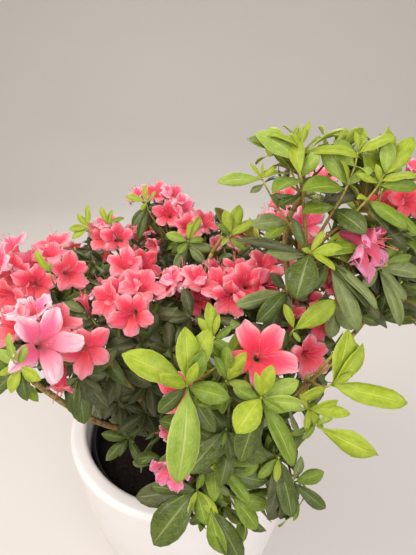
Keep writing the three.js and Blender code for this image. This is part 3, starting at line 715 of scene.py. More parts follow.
def blade_pattern(material):
    """On a leaf's or petal's map: the place itself, how far it is from the rib to the margin
    and from the stalk to the tip, and whether it is in the right half of the map, where a
    leaf has its underside and a blossom its plain lobes."""
    spot = add(material, "ShaderNodeUVMap", uv_map=MAP)
    split = add(material, "ShaderNodeSeparateXYZ", {"Vector": spot.outputs["UV"]})
    doubled = add(material, "ShaderNodeMath", {0: split.outputs["X"], 1: 2.0}, operation="MULTIPLY")
    inside = add(material, "ShaderNodeMath", {0: doubled.outputs[0]}, operation="FRACT")
    centred = add(material, "ShaderNodeMath", {0: inside.outputs[0], 1: 0.5}, operation="SUBTRACT")
    span = add(material, "ShaderNodeMath", {0: centred.outputs[0]}, operation="ABSOLUTE")
    across = add(material, "ShaderNodeMath", {0: span.outputs[0], 1: 2.0}, operation="MULTIPLY")
    under = add(material, "ShaderNodeMath", {0: split.outputs["X"], 1: 0.5}, operation="GREATER_THAN")
    return spot.outputs["UV"], across.outputs[0], split.outputs["Y"], under.outputs[0]


def leaf_finish(name, upper, lighter, under, rib, gloss, rib_share, margin_share, glow=0.0):
    """A living leaf: a waxy skin over green flesh, dealt in two greens, with a pale rib,
    netted side veins that are sunk in the skin, a paler underside, and a thin light edge
    where it is downy. The shares say how plainly the veins and the edge show, and glow how
    much light passes through."""
    material, shader = surface(name, {
        "Roughness": gloss, "IOR": 1.45, "Specular IOR Level": 0.32,
        "Subsurface Weight": glow, "Subsurface Scale": 0.003, "Subsurface Radius": (0.6, 1.0, 0.2),
        "Sheen Weight": 0.03, "Sheen Roughness": 0.4,
    })
    spot, across, along, is_under = blade_pattern(material)
    cloud = add(material, "ShaderNodeTexNoise", {"Vector": spot, "Scale": 6.0, "Detail": 4.0})
    patches = add(material, "ShaderNodeMapRange", {
        "Value": cloud.outputs["Fac"], "From Min": 0.35, "From Max": 0.65,
        "To Min": 0.0, "To Max": 1.0})
    mottled = add(material, "ShaderNodeMix", {
        0: patches.outputs[0], 6: tint(upper), 7: tint(lighter)}, data_type="RGBA")
    two_faced = add(material, "ShaderNodeMix", {
        0: is_under, 6: mottled.outputs[2], 7: tint(under)}, data_type="RGBA")
    # Side veins leave the rib about every 5 mm and sweep towards the tip.
    sweep = add(material, "ShaderNodeMath", {0: across, 1: -1.6}, operation="MULTIPLY")
    phase = add(material, "ShaderNodeMath", {
        0: along, 1: 9.0, 2: sweep.outputs[0]}, operation="MULTIPLY_ADD")
    wave = add(material, "ShaderNodeMath", {0: phase.outputs[0], 1: 0.5}, operation="PINGPONG")
    side_vein = add(material, "ShaderNodeMapRange", {
        "Value": wave.outputs[0], "From Min": 0.0, "From Max": 0.11,
        "To Min": 0.24, "To Max": 0.0})
    main_vein = add(material, "ShaderNodeMapRange", {
        "Value": across, "From Min": 0.02, "From Max": 0.1, "To Min": 1.0, "To Max": 0.0})
    veins = add(material, "ShaderNodeMath", {
        0: side_vein.outputs[0], 1: main_vein.outputs[0]}, operation="MAXIMUM")
    pucker = add(material, "ShaderNodeTexNoise", {"Vector": spot, "Scale": 34.0, "Detail": 3.0})
    netting = add(material, "ShaderNodeMapRange", {
        "Value": pucker.outputs["Fac"], "From Min": 0.48, "From Max": 0.7,
        "To Min": 0.0, "To Max": 0.5})
    lighter_parts = add(material, "ShaderNodeMath", {
        0: veins.outputs[0], 1: netting.outputs[0]}, operation="MAXIMUM")
    amount = add(material, "ShaderNodeMath", {
        0: lighter_parts.outputs[0], 1: rib_share}, operation="MULTIPLY")
    veined = add(material, "ShaderNodeMix", {
        0: amount.outputs[0], 6: two_faced.outputs[2], 7: tint(rib)}, data_type="RGBA")
    edge = add(material, "ShaderNodeMapRange", {
        "Value": across, "From Min": 0.86, "From Max": 1.0,
        "To Min": 0.0, "To Max": margin_share})
    edged = add(material, "ShaderNodeMix", {
        0: edge.outputs[0], 6: veined.outputs[2], 7: tint(rib)}, data_type="RGBA")
    height = add(material, "ShaderNodeMath", {
        0: veins.outputs[0], 1: -1.6, 2: pucker.outputs["Fac"]}, operation="MULTIPLY_ADD")
    bump = add(material, "ShaderNodeBump", {
        "Height": height.outputs[0], "Strength": 0.5, "Distance": 0.5 * MM})
    feed(material, shader, colour=edged.outputs[2], normal=bump.outputs[0])
    return material


def petal_finish(name, middle, pale, throat, blotch, crease):
    """An azalea's petal: thin and silky, deeper in the throat, paler towards the margin and
    finely creased lengthwise, with a flare of deeper colour up the upper lobes, which lie in
    the left half of the map."""
    material, shader = surface(name, {
        "Roughness": 0.5, "IOR": 1.4, "Specular IOR Level": 0.35,
        "Subsurface Weight": 0.45, "Subsurface Scale": 0.004, "Subsurface Radius": (1.0, 0.4, 0.35),
        "Sheen Weight": 0.25, "Sheen Roughness": 0.35,
    })
    spot, across, along, is_plain = blade_pattern(material)
    rim = add(material, "ShaderNodeMath", {0: along, 1: across}, operation="MULTIPLY")
    outward = add(material, "ShaderNodeMath", {
        0: rim.outputs[0], 1: 0.55, 2: along}, operation="MULTIPLY_ADD")
    paler = add(material, "ShaderNodeMapRange", {
        "Value": outward.outputs[0], "From Min": 0.55, "From Max": 1.25,
        "To Min": 0.0, "To Max": 1.0})
    body = add(material, "ShaderNodeMix", {
        0: paler.outputs[0], 6: tint(middle), 7: tint(pale)}, data_type="RGBA")
    deeper = add(material, "ShaderNodeMapRange", {
        "Value": along, "From Min": 0.3, "From Max": 0.66, "To Min": 1.0, "To Max": 0.0})
    deep = add(material, "ShaderNodeMix", {
        0: deeper.outputs[0], 6: body.outputs[2], 7: tint(throat)}, data_type="RGBA")
    # The flare of colour up the middle of the upper lobes
    flare_reach = add(material, "ShaderNodeMath", {
        0: across, 1: 0.45, 2: along}, operation="MULTIPLY_ADD")
    flare = add(material, "ShaderNodeMapRange", {
        "Value": flare_reach.outputs[0], "From Min": 0.6, "From Max": 0.95,
        "To Min": 0.8, "To Max": 0.0})
    upper = add(material, "ShaderNodeMath", {0: 1.0, 1: is_plain}, operation="SUBTRACT")
    flare_there = add(material, "ShaderNodeMath", {
        0: flare.outputs[0], 1: upper.outputs[0]}, operation="MULTIPLY")
    flared = add(material, "ShaderNodeMix", {
        0: flare_there.outputs[0], 6: deep.outputs[2], 7: tint(blotch)}, data_type="RGBA")
    stretch = add(material, "ShaderNodeMapping", {"Vector": spot, "Scale": (34.0, 2.2, 1.0)})
    streak = add(material, "ShaderNodeTexNoise", {
        "Vector": stretch.outputs[0], "Scale": 1.0, "Detail": 3.0})
    lines = add(material, "ShaderNodeMapRange", {
        "Value": streak.outputs["Fac"], "From Min": 0.42, "From Max": 0.62,
        "To Min": 0.0, "To Max": crease})
    lined = add(material, "ShaderNodeMix", {
        0: lines.outputs[0], 6: flared.outputs[2], 7: tint(throat)}, data_type="RGBA")
    bump = add(material, "ShaderNodeBump", {
        "Height": streak.outputs["Fac"], "Strength": 0.7, "Distance": 0.9 * MM})
    feed(material, shader, colour=lined.outputs[2], normal=bump.outputs[0])
    return material


def bark_finish(name, old, young, crack, grain):
    """Azalea wood: fine flaking bark, ridged along the limb, that turns from rusty brown at
    its foot to the yellow-green of a young stem at its tip."""
    material, shader = surface(name, {"Roughness": 0.78, "IOR": 1.45, "Specular IOR Level": 0.3})
    spot = add(material, "ShaderNodeUVMap", uv_map=MAP)
    split = add(material, "ShaderNodeSeparateXYZ", {"Vector": spot.outputs["UV"]})
    place = add(material, "ShaderNodeTexCoord")
    flakes = add(material, "ShaderNodeTexNoise", {
        "Vector": place.outputs["Object"], "Scale": 1 / (grain * MM), "Detail": 4.0, "Roughness": 0.6})
    age = add(material, "ShaderNodeMath", {
        0: flakes.outputs["Fac"], 1: 0.35, 2: split.outputs["Y"]}, operation="MULTIPLY_ADD")
    fresh = add(material, "ShaderNodeMapRange", {
        "Value": age.outputs[0], "From Min": 0.45, "From Max": 1.1, "To Min": 0.0, "To Max": 1.0})
    ageing = add(material, "ShaderNodeMix", {
        0: fresh.outputs[0], 6: tint(old), 7: tint(young)}, data_type="RGBA")
    dark = add(material, "ShaderNodeMapRange", {
        "Value": flakes.outputs["Fac"], "From Min": 0.36, "From Max": 0.55,
        "To Min": 0.7, "To Max": 0.0})
    cracked = add(material, "ShaderNodeMix", {
        0: dark.outputs[0], 6: ageing.outputs[2], 7: tint(crack)}, data_type="RGBA")
    bump = add(material, "ShaderNodeBump", {
        "Height": flakes.outputs["Fac"], "Strength": 0.6, "Distance": 0.6 * MM})
    feed(material, shader, colour=cracked.outputs[2], normal=bump.outputs[0])
    return material


def plain_living(name, colour, shade, scale, roughness):
    """A small living part, such as a filament or a bud scale: one colour, softly clouded."""
    material, shader = surface(name, {"Roughness": roughness, "IOR": 1.42, "Specular IOR Level": 0.4})
    place = add(material, "ShaderNodeTexCoord")
    cloud = add(material, "ShaderNodeTexNoise", {
        "Vector": place.outputs["Object"], "Scale": 1 / (scale * MM), "Detail": 2.0})
    mixed = add(material, "ShaderNodeMix", {
        0: cloud.outputs["Fac"], 6: tint(colour), 7: tint(shade)}, data_type="RGBA")
    feed(material, shader, colour=mixed.outputs[2])
    return material


def fibreclay_finish():
    """Fibre-clay, cast and sprayed in satin white: even and almost smooth, with the faint
    orange peel of sprayed paint, a few filled pores, and a breath of dust."""
    material, shader = surface("fibreclay_sprayed_white", {
        "Roughness": 0.42, "IOR": 1.5, "Specular IOR Level": 0.5,
        "Coat Weight": 0.12, "Coat Roughness": 0.3})
    place = add(material, "ShaderNodeTexCoord")
    cloud = add(material, "ShaderNodeTexNoise", {
        "Vector": place.outputs["Object"], "Scale": 1 / (60 * MM), "Detail": 4.0})
    white = add(material, "ShaderNodeMix", {
        0: cloud.outputs["Fac"], 6: tint("#E3DEDB"), 7: tint("#D8D2CE")}, data_type="RGBA")
    pores = add(material, "ShaderNodeTexVoronoi", {
        "Vector": place.outputs["Object"], "Scale": 1 / (14 * MM)})
    pore = add(material, "ShaderNodeMapRange", {
        "Value": pores.outputs["Distance"], "From Min": 0.03, "From Max": 0.07,
        "To Min": 0.3, "To Max": 0.0})
    pitted = add(material, "ShaderNodeMix", {
        0: pore.outputs[0], 6: white.outputs[2], 7: tint("#B9B2AB")}, data_type="RGBA")
    peel = add(material, "ShaderNodeTexNoise", {
        "Vector": place.outputs["Object"], "Scale": 1 / (2.5 * MM), "Detail": 2.0})
    bump = add(material, "ShaderNodeBump", {
        "Height": peel.outputs["Fac"], "Strength": 0.12, "Distance": 0.3 * MM})
    rough = add(material, "ShaderNodeMapRange", {
        "Value": cloud.outputs["Fac"], "From Min": 0.3, "From Max": 0.7,
        "To Min": 0.36, "To Max": 0.5})
    feed(material, shader, colour=pitted.outputs[2], roughness=rough.outputs[0], normal=bump.outputs[0])
    return material


def nursery_plastic_finish():
    """Black polypropylene, blow-moulded thin: dull, finely scuffed, dusted with compost."""
    material, shader = surface("polypropylene_black_moulded", {
        "Roughness": 0.5, "IOR": 1.49, "Specular IOR Level": 0.4})
    place = add(material, "ShaderNodeTexCoord")
    dust = add(material, "ShaderNodeTexNoise", {
        "Vector": place.outputs["Object"], "Scale": 1 / (9 * MM), "Detail": 5.0})
    dusty = add(material, "ShaderNodeMapRange", {
        "Value": dust.outputs["Fac"], "From Min": 0.52, "From Max": 0.75,
        "To Min": 0.0, "To Max": 0.3})
    black = add(material, "ShaderNodeMix", {
        0: dusty.outputs[0], 6: tint("#08080A"), 7: tint("#2E251F")}, data_type="RGBA")
    feed(material, shader, colour=black.outputs[2])
    return material


def compost_finish():
    """Moist peat and bark compost: near black in its hollows, brown on its crumbs."""
    material, shader = surface("compost_peat_and_bark", {
        "Roughness": 0.95, "IOR": 1.4, "Specular IOR Level": 0.2})
    place = add(material, "ShaderNodeTexCoord")
    crumbs = add(material, "ShaderNodeTexNoise", {
        "Vector": place.outputs["Object"], "Scale": 1 / (5 * MM), "Detail": 6.0, "Roughness": 0.7})
    spread = add(material, "ShaderNodeMapRange", {
        "Value": crumbs.outputs["Fac"], "From Min": 0.38, "From Max": 0.72,
        "To Min": 0.0, "To Max": 1.0})
    brown = add(material, "ShaderNodeMix", {
        0: spread.outputs[0], 6: tint("#080605"), 7: tint("#221811")}, data_type="RGBA")
    bump = add(material, "ShaderNodeBump", {
        "Height": crumbs.outputs["Fac"], "Strength": 0.9, "Distance": 2 * MM})
    feed(material, shader, colour=brown.outputs[2], normal=bump.outputs[0])
    return material


# Leaves: tint, name, the two greens above, the underside, the rib, roughness, how plainly the
# veins and the light edge show, and how much light glows through
LEAF_TINTS = {kind: leaf_finish(*looks) for kind, *looks in (
    ("spring", "leaf_spring_thin", "#7E8F17", "#98A528", "#98A246", "#C0CA6A", 0.42, 0.35, 0.45, 0.15),
    ("young", "leaf_young_downy", "#788E28", "#90A23E", "#98A460", "#C2CC88", 0.48, 0.4, 0.65, 0.1),
    ("green", "leaf_summer_green", "#586D12", "#718520", "#848F46", "#A6B260", 0.36, 0.45, 0.35),
    ("mature", "leaf_mature_green", "#3B4811", "#4F5D1A", "#707A42", "#929C68", 0.32, 0.5, 0.25),
    ("olive", "leaf_dull_olive", "#626C34", "#7A844A", "#90976E", "#A6AD88", 0.48, 0.45, 0.3),
    # The old tint is last year's dull leaves, darker also as painted shade for leaves deep in the crown
    # and on its shaded side
    ("old", "leaf_old_dull_painted_shade", "#393D1C", "#51542E", "#6A6D4E", "#848664", 0.38, 0.5, 0.25),
)}
# Petals: tint, name, the body's colour, the margin's, the throat's, the flare's, and how
# plainly the creases show
PETAL_TINTS = {kind: petal_finish(*looks) for kind, *looks in (
    ("coral", "petal_coral", "#FF7682", "#FFA8B0", "#F8404E", "#EE2C58", 0.5),
    ("pink", "petal_pink", "#FF8C9B", "#FFC8D1", "#F64A64", "#EE3C74", 0.55),
    ("pale", "petal_pale_pink", "#FFB4BE", "#FFDFE4", "#F4708A", "#F2548C", 0.5),
    # The red tint is partly painted shade: a deeper red that stands in for blossoms in shade
    ("red", "petal_red_painted_shade", "#FF5663", "#FF828C", "#F23246", "#E0203C", 0.45),
    ("faded", "petal_faded", "#E65F80", "#EE94B4", "#E04858", "#C83A6A", 0.6),
)}

BARK = bark_finish("bark_flaking", "#7C5238", "#A08C4E", "#3E281C", 5)
YOUNG_WOOD = bark_finish("stem_young_downy", "#96743E", "#A0A24E", "#74602F", 3)
FILAMENT = plain_living("filament_crimson", "#F0506C", "#FF8090", 6, 0.45)
ANTHER = plain_living("anther_pollen_dusted", "#8A4A50", "#B07A68", 1.5, 0.8)
BUD_SCALE = plain_living("bud_scale_papery", "#7E4F2C", "#B08848", 4, 0.6)
CALYX = plain_living("calyx_downy_green", "#7C9A3A", "#A3B658", 4, 0.6)


# Planter


def pot_radius(height):
    """The planter's outer radius at a height: it swells gently from its foot to its rim."""
    depth = POT_HEIGHT - height
    swell = RIM_RADIUS - FOOT_RADIUS - RIM_SLOPE * POT_HEIGHT
    return RIM_RADIUS - RIM_SLOPE * depth - swell * (depth / POT_HEIGHT) ** 2


def pot_inner_radius(height):
    """The planter's inner radius at a height."""
    wall = WALL_AT_FOOT + (RIM_WIDTH - WALL_AT_FOOT) * (height / POT_HEIGHT)
    return pot_radius(height) - wall


def liner_radius(height):
    """The nursery pot's outer radius at a height, clear of the planter's inside."""
    foot = pot_inner_radius(POT_FLOOR) - LINER_CLEARANCE
    top = pot_inner_radius(LINER_TOP) - LINER_CLEARANCE
    return foot + (top - foot) * ((height - POT_FLOOR) / (LINER_TOP - POT_FLOOR))


def spun(outline):
    """A closed body turned on the Z axis from its [radius, height] outline."""
    bm = bmesh.new()
    verts = [bm.verts.new((radius, 0, height)) for radius, height in outline]
    edges = [bm.edges.new(pair) for pair in zip(verts, verts[1:])]
    bmesh.ops.spin(bm, geom=verts + edges, cent=(0, 0, 0), axis=(0, 0, 1), angle=2 * math.pi,
                   steps=ROUND_STEPS, use_merge=True)
    bmesh.ops.remove_doubles(bm, verts=bm.verts[:], dist=0.01 * MM)
    bmesh.ops.recalc_face_normals(bm, faces=bm.faces[:])
    return bm


def arc(middle_radius, middle_height, radius, start, end, steps):
    """Points round part of a circle, as [radius, height] of the outline."""
    turns = [start + (end - start) * i / steps for i in range(steps + 1)]
    return [(middle_radius + radius * math.cos(a), middle_height + radius * math.sin(a)) for a in turns]


def make_planter():
    """The white planter: a tapered wall with a thick rounded rim and a chamfered foot."""
    outer_rings, inner_rings = range(20, 361, 20), range(350, 20, -30)
    outline = [(0, 0), (FOOT_RADIUS - FOOT_CHAMFER, 0)]
    outline += arc(pot_radius(FOOT_CHAMFER) - FOOT_CHAMFER, FOOT_CHAMFER, FOOT_CHAMFER, -1.2, 0, 3)
    outline += [(pot_radius(h * MM), h * MM) for h in outer_rings]
    shoulder = POT_HEIGHT - RIM_ROUNDING
    outline += arc(RIM_RADIUS - RIM_ROUNDING, shoulder, RIM_ROUNDING, 0, math.pi / 2, 6)
    inside = RIM_RADIUS - RIM_WIDTH + RIM_ROUNDING
    outline += arc(inside, shoulder, RIM_ROUNDING, math.pi / 2, math.pi, 6)
    outline += [(pot_inner_radius(h * MM), h * MM) for h in inner_rings]
    outline += [(pot_inner_radius(POT_FLOOR), POT_FLOOR), (0, POT_FLOOR)]
    bm = spun(outline)
    for face in bm.faces:
        face.smooth = abs(face.normal.z) < 0.99 or face.calc_center_median().z > POT_HEIGHT / 2
    finished(mesh_from(bm, "planter"), "planter", fibreclay_finish(), ["pot"])


def make_nursery_pot():
    """The thin black pot inside: ribbed, with a rolled lip."""
    base = POT_FLOOR + GAP
    floor = base + LINER_WALL
    rings = range(40, 341, 20)
    outline = [(0, base), (liner_radius(base), base)]
    outline += [(liner_radius(h * MM), h * MM) for h in rings]
    lip_middle = liner_radius(LINER_TOP) - LINER_LIP
    outline += arc(lip_middle, LINER_TOP - LINER_LIP, 2 * LINER_LIP, -0.6, 1.9, 6)
    outline += [(liner_radius(h * MM) - LINER_WALL, h * MM) for h in reversed(rings)]
    outline += [(liner_radius(floor) - LINER_WALL, floor), (0, floor)]
    bm = spun(outline)
    ribs_start, ribs_end = base + 5 * MM, LINER_TOP - 12 * MM
    for vert in bm.verts:
        outward = Vector((vert.co.x, vert.co.y, 0))
        if outward.length > 10 * MM and ribs_start < vert.co.z < ribs_end:
            rib = RIB_DEPTH * math.cos(LINER_RIBS * math.atan2(outward.y, outward.x))
            vert.co += outward.normalized() * rib
    for face in bm.faces:
        face.smooth = True
    finished(mesh_from(bm, "nursery_pot"), "nursery_pot", nursery_plastic_finish(), ["liner"])


def soil_height(x, y):
    """The compost's surface: highest by the trunk, lower and crumblier towards the edge."""
    away = math.hypot(x, y)
    edge = liner_radius(SOIL_EDGE) - LINER_WALL
    fall = (SOIL_TOP - SOIL_EDGE) * max(0.0, (away - SOIL_MOUND) / (edge - SOIL_MOUND)) ** 1.5
    coarse = noise.noise(Vector((x, y, 0)) / (16 * MM)) * 3.0
    fine = noise.noise(Vector((x, y, 1)) / (5 * MM)) * 1.4
    return SOIL_TOP - fall + (coarse + fine) * MM * min(1.0, away / SOIL_MOUND) - 0.6 * MM


def make_soil():
    """The compost in the nursery pot, with loose crumbs lying on it."""
    base = POT_FLOOR + LINER_WALL + 2 * GAP
    edge = liner_radius(SOIL_EDGE) - LINER_WALL - 2 * GAP
    outline = [(0, base), (liner_radius(base) - LINER_WALL - 2 * GAP, base), (edge, SOIL_EDGE - 4 * MM)]
    outline += [(edge * (1 - i / SOIL_RINGS), SOIL_TOP) for i in range(SOIL_RINGS)] + [(0, SOIL_TOP)]
    bm = spun(outline)
    for vert in bm.verts:
        if vert.co.z > SOIL_EDGE:
            vert.co.z = soil_height(vert.co.x, vert.co.y)
    whole = Pile()
    body = Shape(bm)
    whole.put(body, body.points)
    lump = bmesh.new()
    bmesh.ops.create_icosphere(lump, subdivisions=1, radius=1)
    for vert in lump.verts:
        vert.co *= 1 + 0.35 * noise.noise(vert.co * 1.7)
    crumb = Shape(lump, flat=range(len(lump.faces)))
    random = seeded(CRUMB_SEED)
    for _ in range(CRUMBS):
        away = edge * math.sqrt(random()) * 0.97
        around = 2 * math.pi * random()
        x, y = away * math.cos(around), away * math.sin(around)
        angle = 6 * random()
        axis = Vector((random() - 0.5, random() - 0.5, 0.3)).normalized()
        turn = Matrix.Rotation(angle, 3, axis)
        size = (1.0 + 2.6 * random() ** 2) * MM
        squash = Matrix.Diagonal(Vector((1, 0.6 + 0.5 * random(), 0.5 + 0.4 * random()))) * size
        spot = np.array((x, y, soil_height(x, y) + 0.3 * size))
        whole.put(crumb, crumb.points @ np.array(turn @ squash).T + spot)
    whole.piece("compost", compost_finish(), "soil", ["soil"])


# Wood


def bar(sides, steps):
    """A straight bar of unit radius from z 0 to 1, with its length in steps and mapped round
    and along."""
    bm = bmesh.new()
    bmesh.ops.create_cone(bm, cap_ends=True, segments=sides, radius1=1, radius2=1, depth=1)
    bmesh.ops.translate(bm, verts=bm.verts[:], vec=(0, 0, 0.5))
    long = [edge for edge in bm.edges if abs(edge.verts[0].co.z - edge.verts[1].co.z) > 0.5]
    bmesh.ops.subdivide_edges(bm, edges=long, cuts=steps - 1, use_grid_fill=True)
    layer = bm.loops.layers.uv.new(MAP)
    ends = set()
    bm.faces.index_update()
    for face in bm.faces:
        if abs(face.normal.z) > 0.5:
            ends.add(face.index)
        middle = face.calc_center_median()
        about = math.atan2(middle.y, middle.x)
        for loop in face.loops:
            spot = loop.vert.co
            if face.index in ends:
                loop[layer].uv = (0.5 + 0.02 * spot.x, 0.98 * spot.z + 0.01 * spot.y + 0.01)
            else:
                turn = (math.atan2(spot.y, spot.x) - about + math.pi) % (2 * math.pi) - math.pi
                loop[layer].uv = (0.5 + (about + turn) / (2.2 * math.pi), 0.01 + 0.98 * spot.z)
    return Shape(bm, flat=ends)


class Bend:
    """A Bezier curve of three or four points."""

    def __init__(self, *points):
        if len(points) == 3:
            a, b, c = points
            points = (a, a + (b - a) * (2 / 3), c + (b - c) * (2 / 3), c)
        self.points = np.array([tuple(point) for point in points])

    def at(self, share):
        """The place at a share of the curve."""
        s = np.asarray(share, dtype=float)[..., None]
        a, b, c, d = self.points
        return (1 - s) ** 3 * a + 3 * (1 - s) ** 2 * s * b + 3 * (1 - s) * s * s * c + s ** 3 * d

    def heading(self, share):
        """The direction in which it runs there."""
        s = np.asarray(share, dtype=float)[..., None]
        a, b, c, d = self.points
        way = 3 * (1 - s) ** 2 * (b - a) + 6 * (1 - s) * s * (c - b) + 3 * s * s * (d - c)
        return way / np.linalg.norm(way, axis=-1, keepdims=True)

    def length(self):
        spots = self.at(np.linspace(0, 1, 17))
        return float(np.linalg.norm(np.diff(spots, axis=0), axis=1).sum())


def bent(shape, curve, radius_at):
    """A bar's points, bent along a curve. radius_at takes shares and angles as arrays."""
    share = shape.points[:, 2]
    way = curve.heading(share)
    ends = curve.heading(np.array([0.0, 0.5, 1.0]))
    across = np.eye(3)[np.abs(ends).max(axis=0).argmin()]
    side = np.cross(way, across)
    side /= np.linalg.norm(side, axis=1, keepdims=True)
    front = np.cross(side, way)
    angle = np.arctan2(shape.points[:, 1], shape.points[:, 0])
    radius = np.asarray(radius_at(share, angle))[:, None]
    offset = side * shape.points[:, 0:1] - front * shape.points[:, 1:2]
    return curve.at(share) + radius * offset


def bark_radius(radius_at, length, seed):
    """A limb's radius with the bark's relief: low ridges along it, and small swollen scars."""

    def relief(share, angle):
        rough = np.empty(len(share))
        for i, (s, a) in enumerate(zip(share, angle)):
            spot = Vector((math.cos(a) * 1.6, math.sin(a) * 1.6, s * length / (22 * MM) + seed))
            knots = Vector((math.cos(a), math.sin(a), s * length / (7 * MM) + 3 * seed))
            rough[i] = 0.13 * noise.noise(spot) + 0.09 * noise.noise(knots)
        return radius_at(share) * (1 + rough)

    return relief


class Limb:
    """The trunk or a bough: the model's name for it, how many forks it is from the trunk, its
    line, and its radius at a share of that line."""

    def __init__(self, name, order, curve, radius_at):
        self.name, self.order, self.curve, self.radius_at = name, order, curve, radius_at


class Mass:
    """A row of the crown as named values, with what follows from them."""

    def __init__(self, row, values):
        self.name, self.parent, self.fork, x, y, z, reach, leaf, self.shoots, self.blossoming = values
        self.row = row
        self.middle = Vector((x, y, z)) * MM
        self.reach = reach * MM
        self.leaf = leaf * MM
        facing = self.middle - CROWN_HEART
        facing.z = max(facing.z, LEAST_RISE * facing.length)
        self.facing = facing.normalized()
        self.heading = (Vector((x, y, 0)).normalized() * 0.5 + UP).normalized()
        self.entry = self.middle - 0.62 * self.reach * self.heading
        self.heart = self.middle - 0.15 * self.reach * self.facing
        self.turn = 2.1 * row


def plan_wood(masses):
    """The trunk, the boughs and the stem of each mass, as in the model."""
    trunk_curve = Bend(TRUNK_FOOT + UP * GAP, TRUNK_FOOT + UP * 30 * MM,
                       TRUNK_FORK - UP * 30 * MM, TRUNK_FORK)

    def trunk_radius(share):
        body = TRUNK_BASE_RADIUS + (TRUNK_FORK_RADIUS - TRUNK_BASE_RADIUS) * share
        return body + ROOT_FLARE * np.exp(-7 * np.asarray(share))

    limbs = {"trunk": Limb("trunk", 0, trunk_curve, trunk_radius)}
    for mass in masses:
        parent = limbs[mass.parent]
        start = Vector(parent.curve.at(mass.fork))
        span = mass.entry - start
        length = span.length
        level = Vector((span.x, span.y, 0)).normalized()
        leaving = level + 0.35 * UP + 0.35 * Vector(parent.curve.heading(mass.fork))
        curve = Bend(start, start + 0.4 * length * leaving.normalized(),
                     mass.entry - 0.36 * length * mass.heading, mass.entry)
        widest = 0.85 * float(parent.radius_at(mass.fork))
        foot = max(min(BOUGH_FOOT_RADIUS[parent.order], widest), BOUGH_TIP_RADIUS)
        radius_at = lambda share, foot=foot: foot + (BOUGH_TIP_RADIUS - foot) * np.asarray(share)
        limbs[mass.name] = Limb(f"bough_{mass.name}", parent.order + 1, curve, radius_at)
        heading = Vector(curve.heading(1.0))
        reach = (mass.heart - mass.entry).length
        mass.stem = Bend(mass.entry, mass.entry + 0.5 * reach * heading, mass.heart)
    return limbs


def make_wood(limbs):
    """Trunk and boughs with their bark's relief, in place of the plain limbs."""
    wood = Pile()
    for seed, limb in enumerate(limbs.values()):
        length = limb.curve.length()
        sides, step = (20, 3 * MM) if limb.name == "trunk" else (10, 6 * MM)
        shape = bar(sides, max(6, int(length / step)))
        wood.put(shape, bent(shape, limb.curve, bark_radius(limb.radius_at, length, 5 * seed)))
    wood.piece("trunk_and_boughs", BARK, "bark", [limb.name for limb in limbs.values()])


# Leaves


def leaf_half_width(share):
    """Half the width of a leaf at a share of its length: a short stalk, a wedge-shaped foot,
    widest past its middle, and a short point."""
    stalk, stalk_end, bulge = 0.014, 0.07, 0.172
    if share < stalk_end:
        return stalk
    t = (share - stalk_end) / (1 - stalk_end)
    foot, point = 1.0, 0.82
    widest = foot / (foot + point)
    return stalk + bulge * (t / widest) ** foot * ((1 - t) / (1 - widest)) ** point


def leaf(columns, rows, fold, roll, arch, twist, wave, sag=1.35):
    """A leaf one unit long, from its stalk along +Y, its upper face up. It is folded along
    its rib, its margins roll down, and it arches, sags, twists and waves."""
    bm = bmesh.new()
    layer = bm.loops.layers.uv.new(MAP)
    bmesh.ops.create_grid(bm, x_segments=columns, y_segments=rows, size=0.5, calc_uvs=True)
    for face in bm.faces:
        for loop in face.loops:
            across, along = loop.vert.co.x + 0.5, loop.vert.co.y + 0.5
            loop[layer].uv = (0.01 + 0.48 * across, 0.01 + 0.98 * along)
    for vert in bm.verts:
        across, along = 2 * vert.co.x, vert.co.y + 0.5
        share = 0.5 * along + 0.5 * (0.5 - 0.5 * math.cos(math.pi * along))
        x = across * max(leaf_half_width(share), 0.006)
        lift = fold * abs(x) - roll * x * x * 12
        rise = arch * (0.9 * share - sag * share * share)
        ripple = wave * math.sin(9 * share + (2 if across > 0 else 0)) * abs(across) * 0.05
        lean = twist * share * x
        vert.co = (x, share, lift + rise + ripple + lean)
    originals = set(bm.verts)
    bmesh.ops.solidify(bm, geom=bm.faces[:], thickness=LEAF_THICKNESS)
    bm.normal_update()
    bm.faces.index_update()
    rims = set()
    for face in bm.faces:
        kept = [vert in originals for vert in face.verts]
        if all(kept) or not any(kept):
            if face.normal.z < 0:
                for loop in face.loops:
                    u, v = loop[layer].uv
                    loop[layer].uv = (u + 0.5 if u < 0.5 else u, v)
            continue
        rims.add(face.index)
        for loop in face.loops:
            x, y = loop.vert.co.x, loop.vert.co.y
            edge = 0.49 if x > 0 else 0.01
            inset = 0.012 if loop.vert in originals else 0.0
            loop[layer].uv = (edge - inset if x > 0 else edge + inset, 0.01 + 0.98 * y)
    return Shape(bm, flat=rims)


# Leaves of several habits: flat, folded, arched, twisted or waved. In a row: fold, roll, arch,
# twist and wave.
FINE_LEAVES = [leaf(4, 8, *habit, sag=0.9) for habit in (
    (0.35, 0.05, 0.30, 0.15, 0.5), (0.50, 0.03, 0.45, -0.2, 0.4),
    (0.20, 0.10, 0.15, 0.1, 0.9), (0.30, 0.12, 0.55, 0.25, 0.6),
)]
PLAIN_LEAVES = [leaf(2, 6, *habit) for habit in (
    (0.30, 0.02, 0.25, 0.15, 0.3), (0.50, 0.0, 0.45, -0.2, 0.2), (0.10, 0.05, 0.15, 0.1, 0.5),
    (0.25, 0.05, 0.7, 0.25, 0.2), (-0.15, 0.05, 0.5, -0.3, 0.4),
)]


# Blossoms


def petal_profile(s, openness):
    """[radius, height] of the corolla's funnel at a share s of a petal's length, as shares of
    the blossom's radius and depth."""
    tip_height = 0.98 + 0.35 * (1 - openness)
    points = ((0.06, 0.0), (0.10, 0.72), (0.42 * openness, 1.0), (1.0 * openness, tip_height))
    weights = ((1 - s) ** 3, 3 * (1 - s) ** 2 * s, 3 * (1 - s) * s * s, s ** 3)
    radius = sum(w * p[0] for w, p in zip(weights, points))
    height = sum(w * p[1] for w, p in zip(weights, points))
    return radius, height


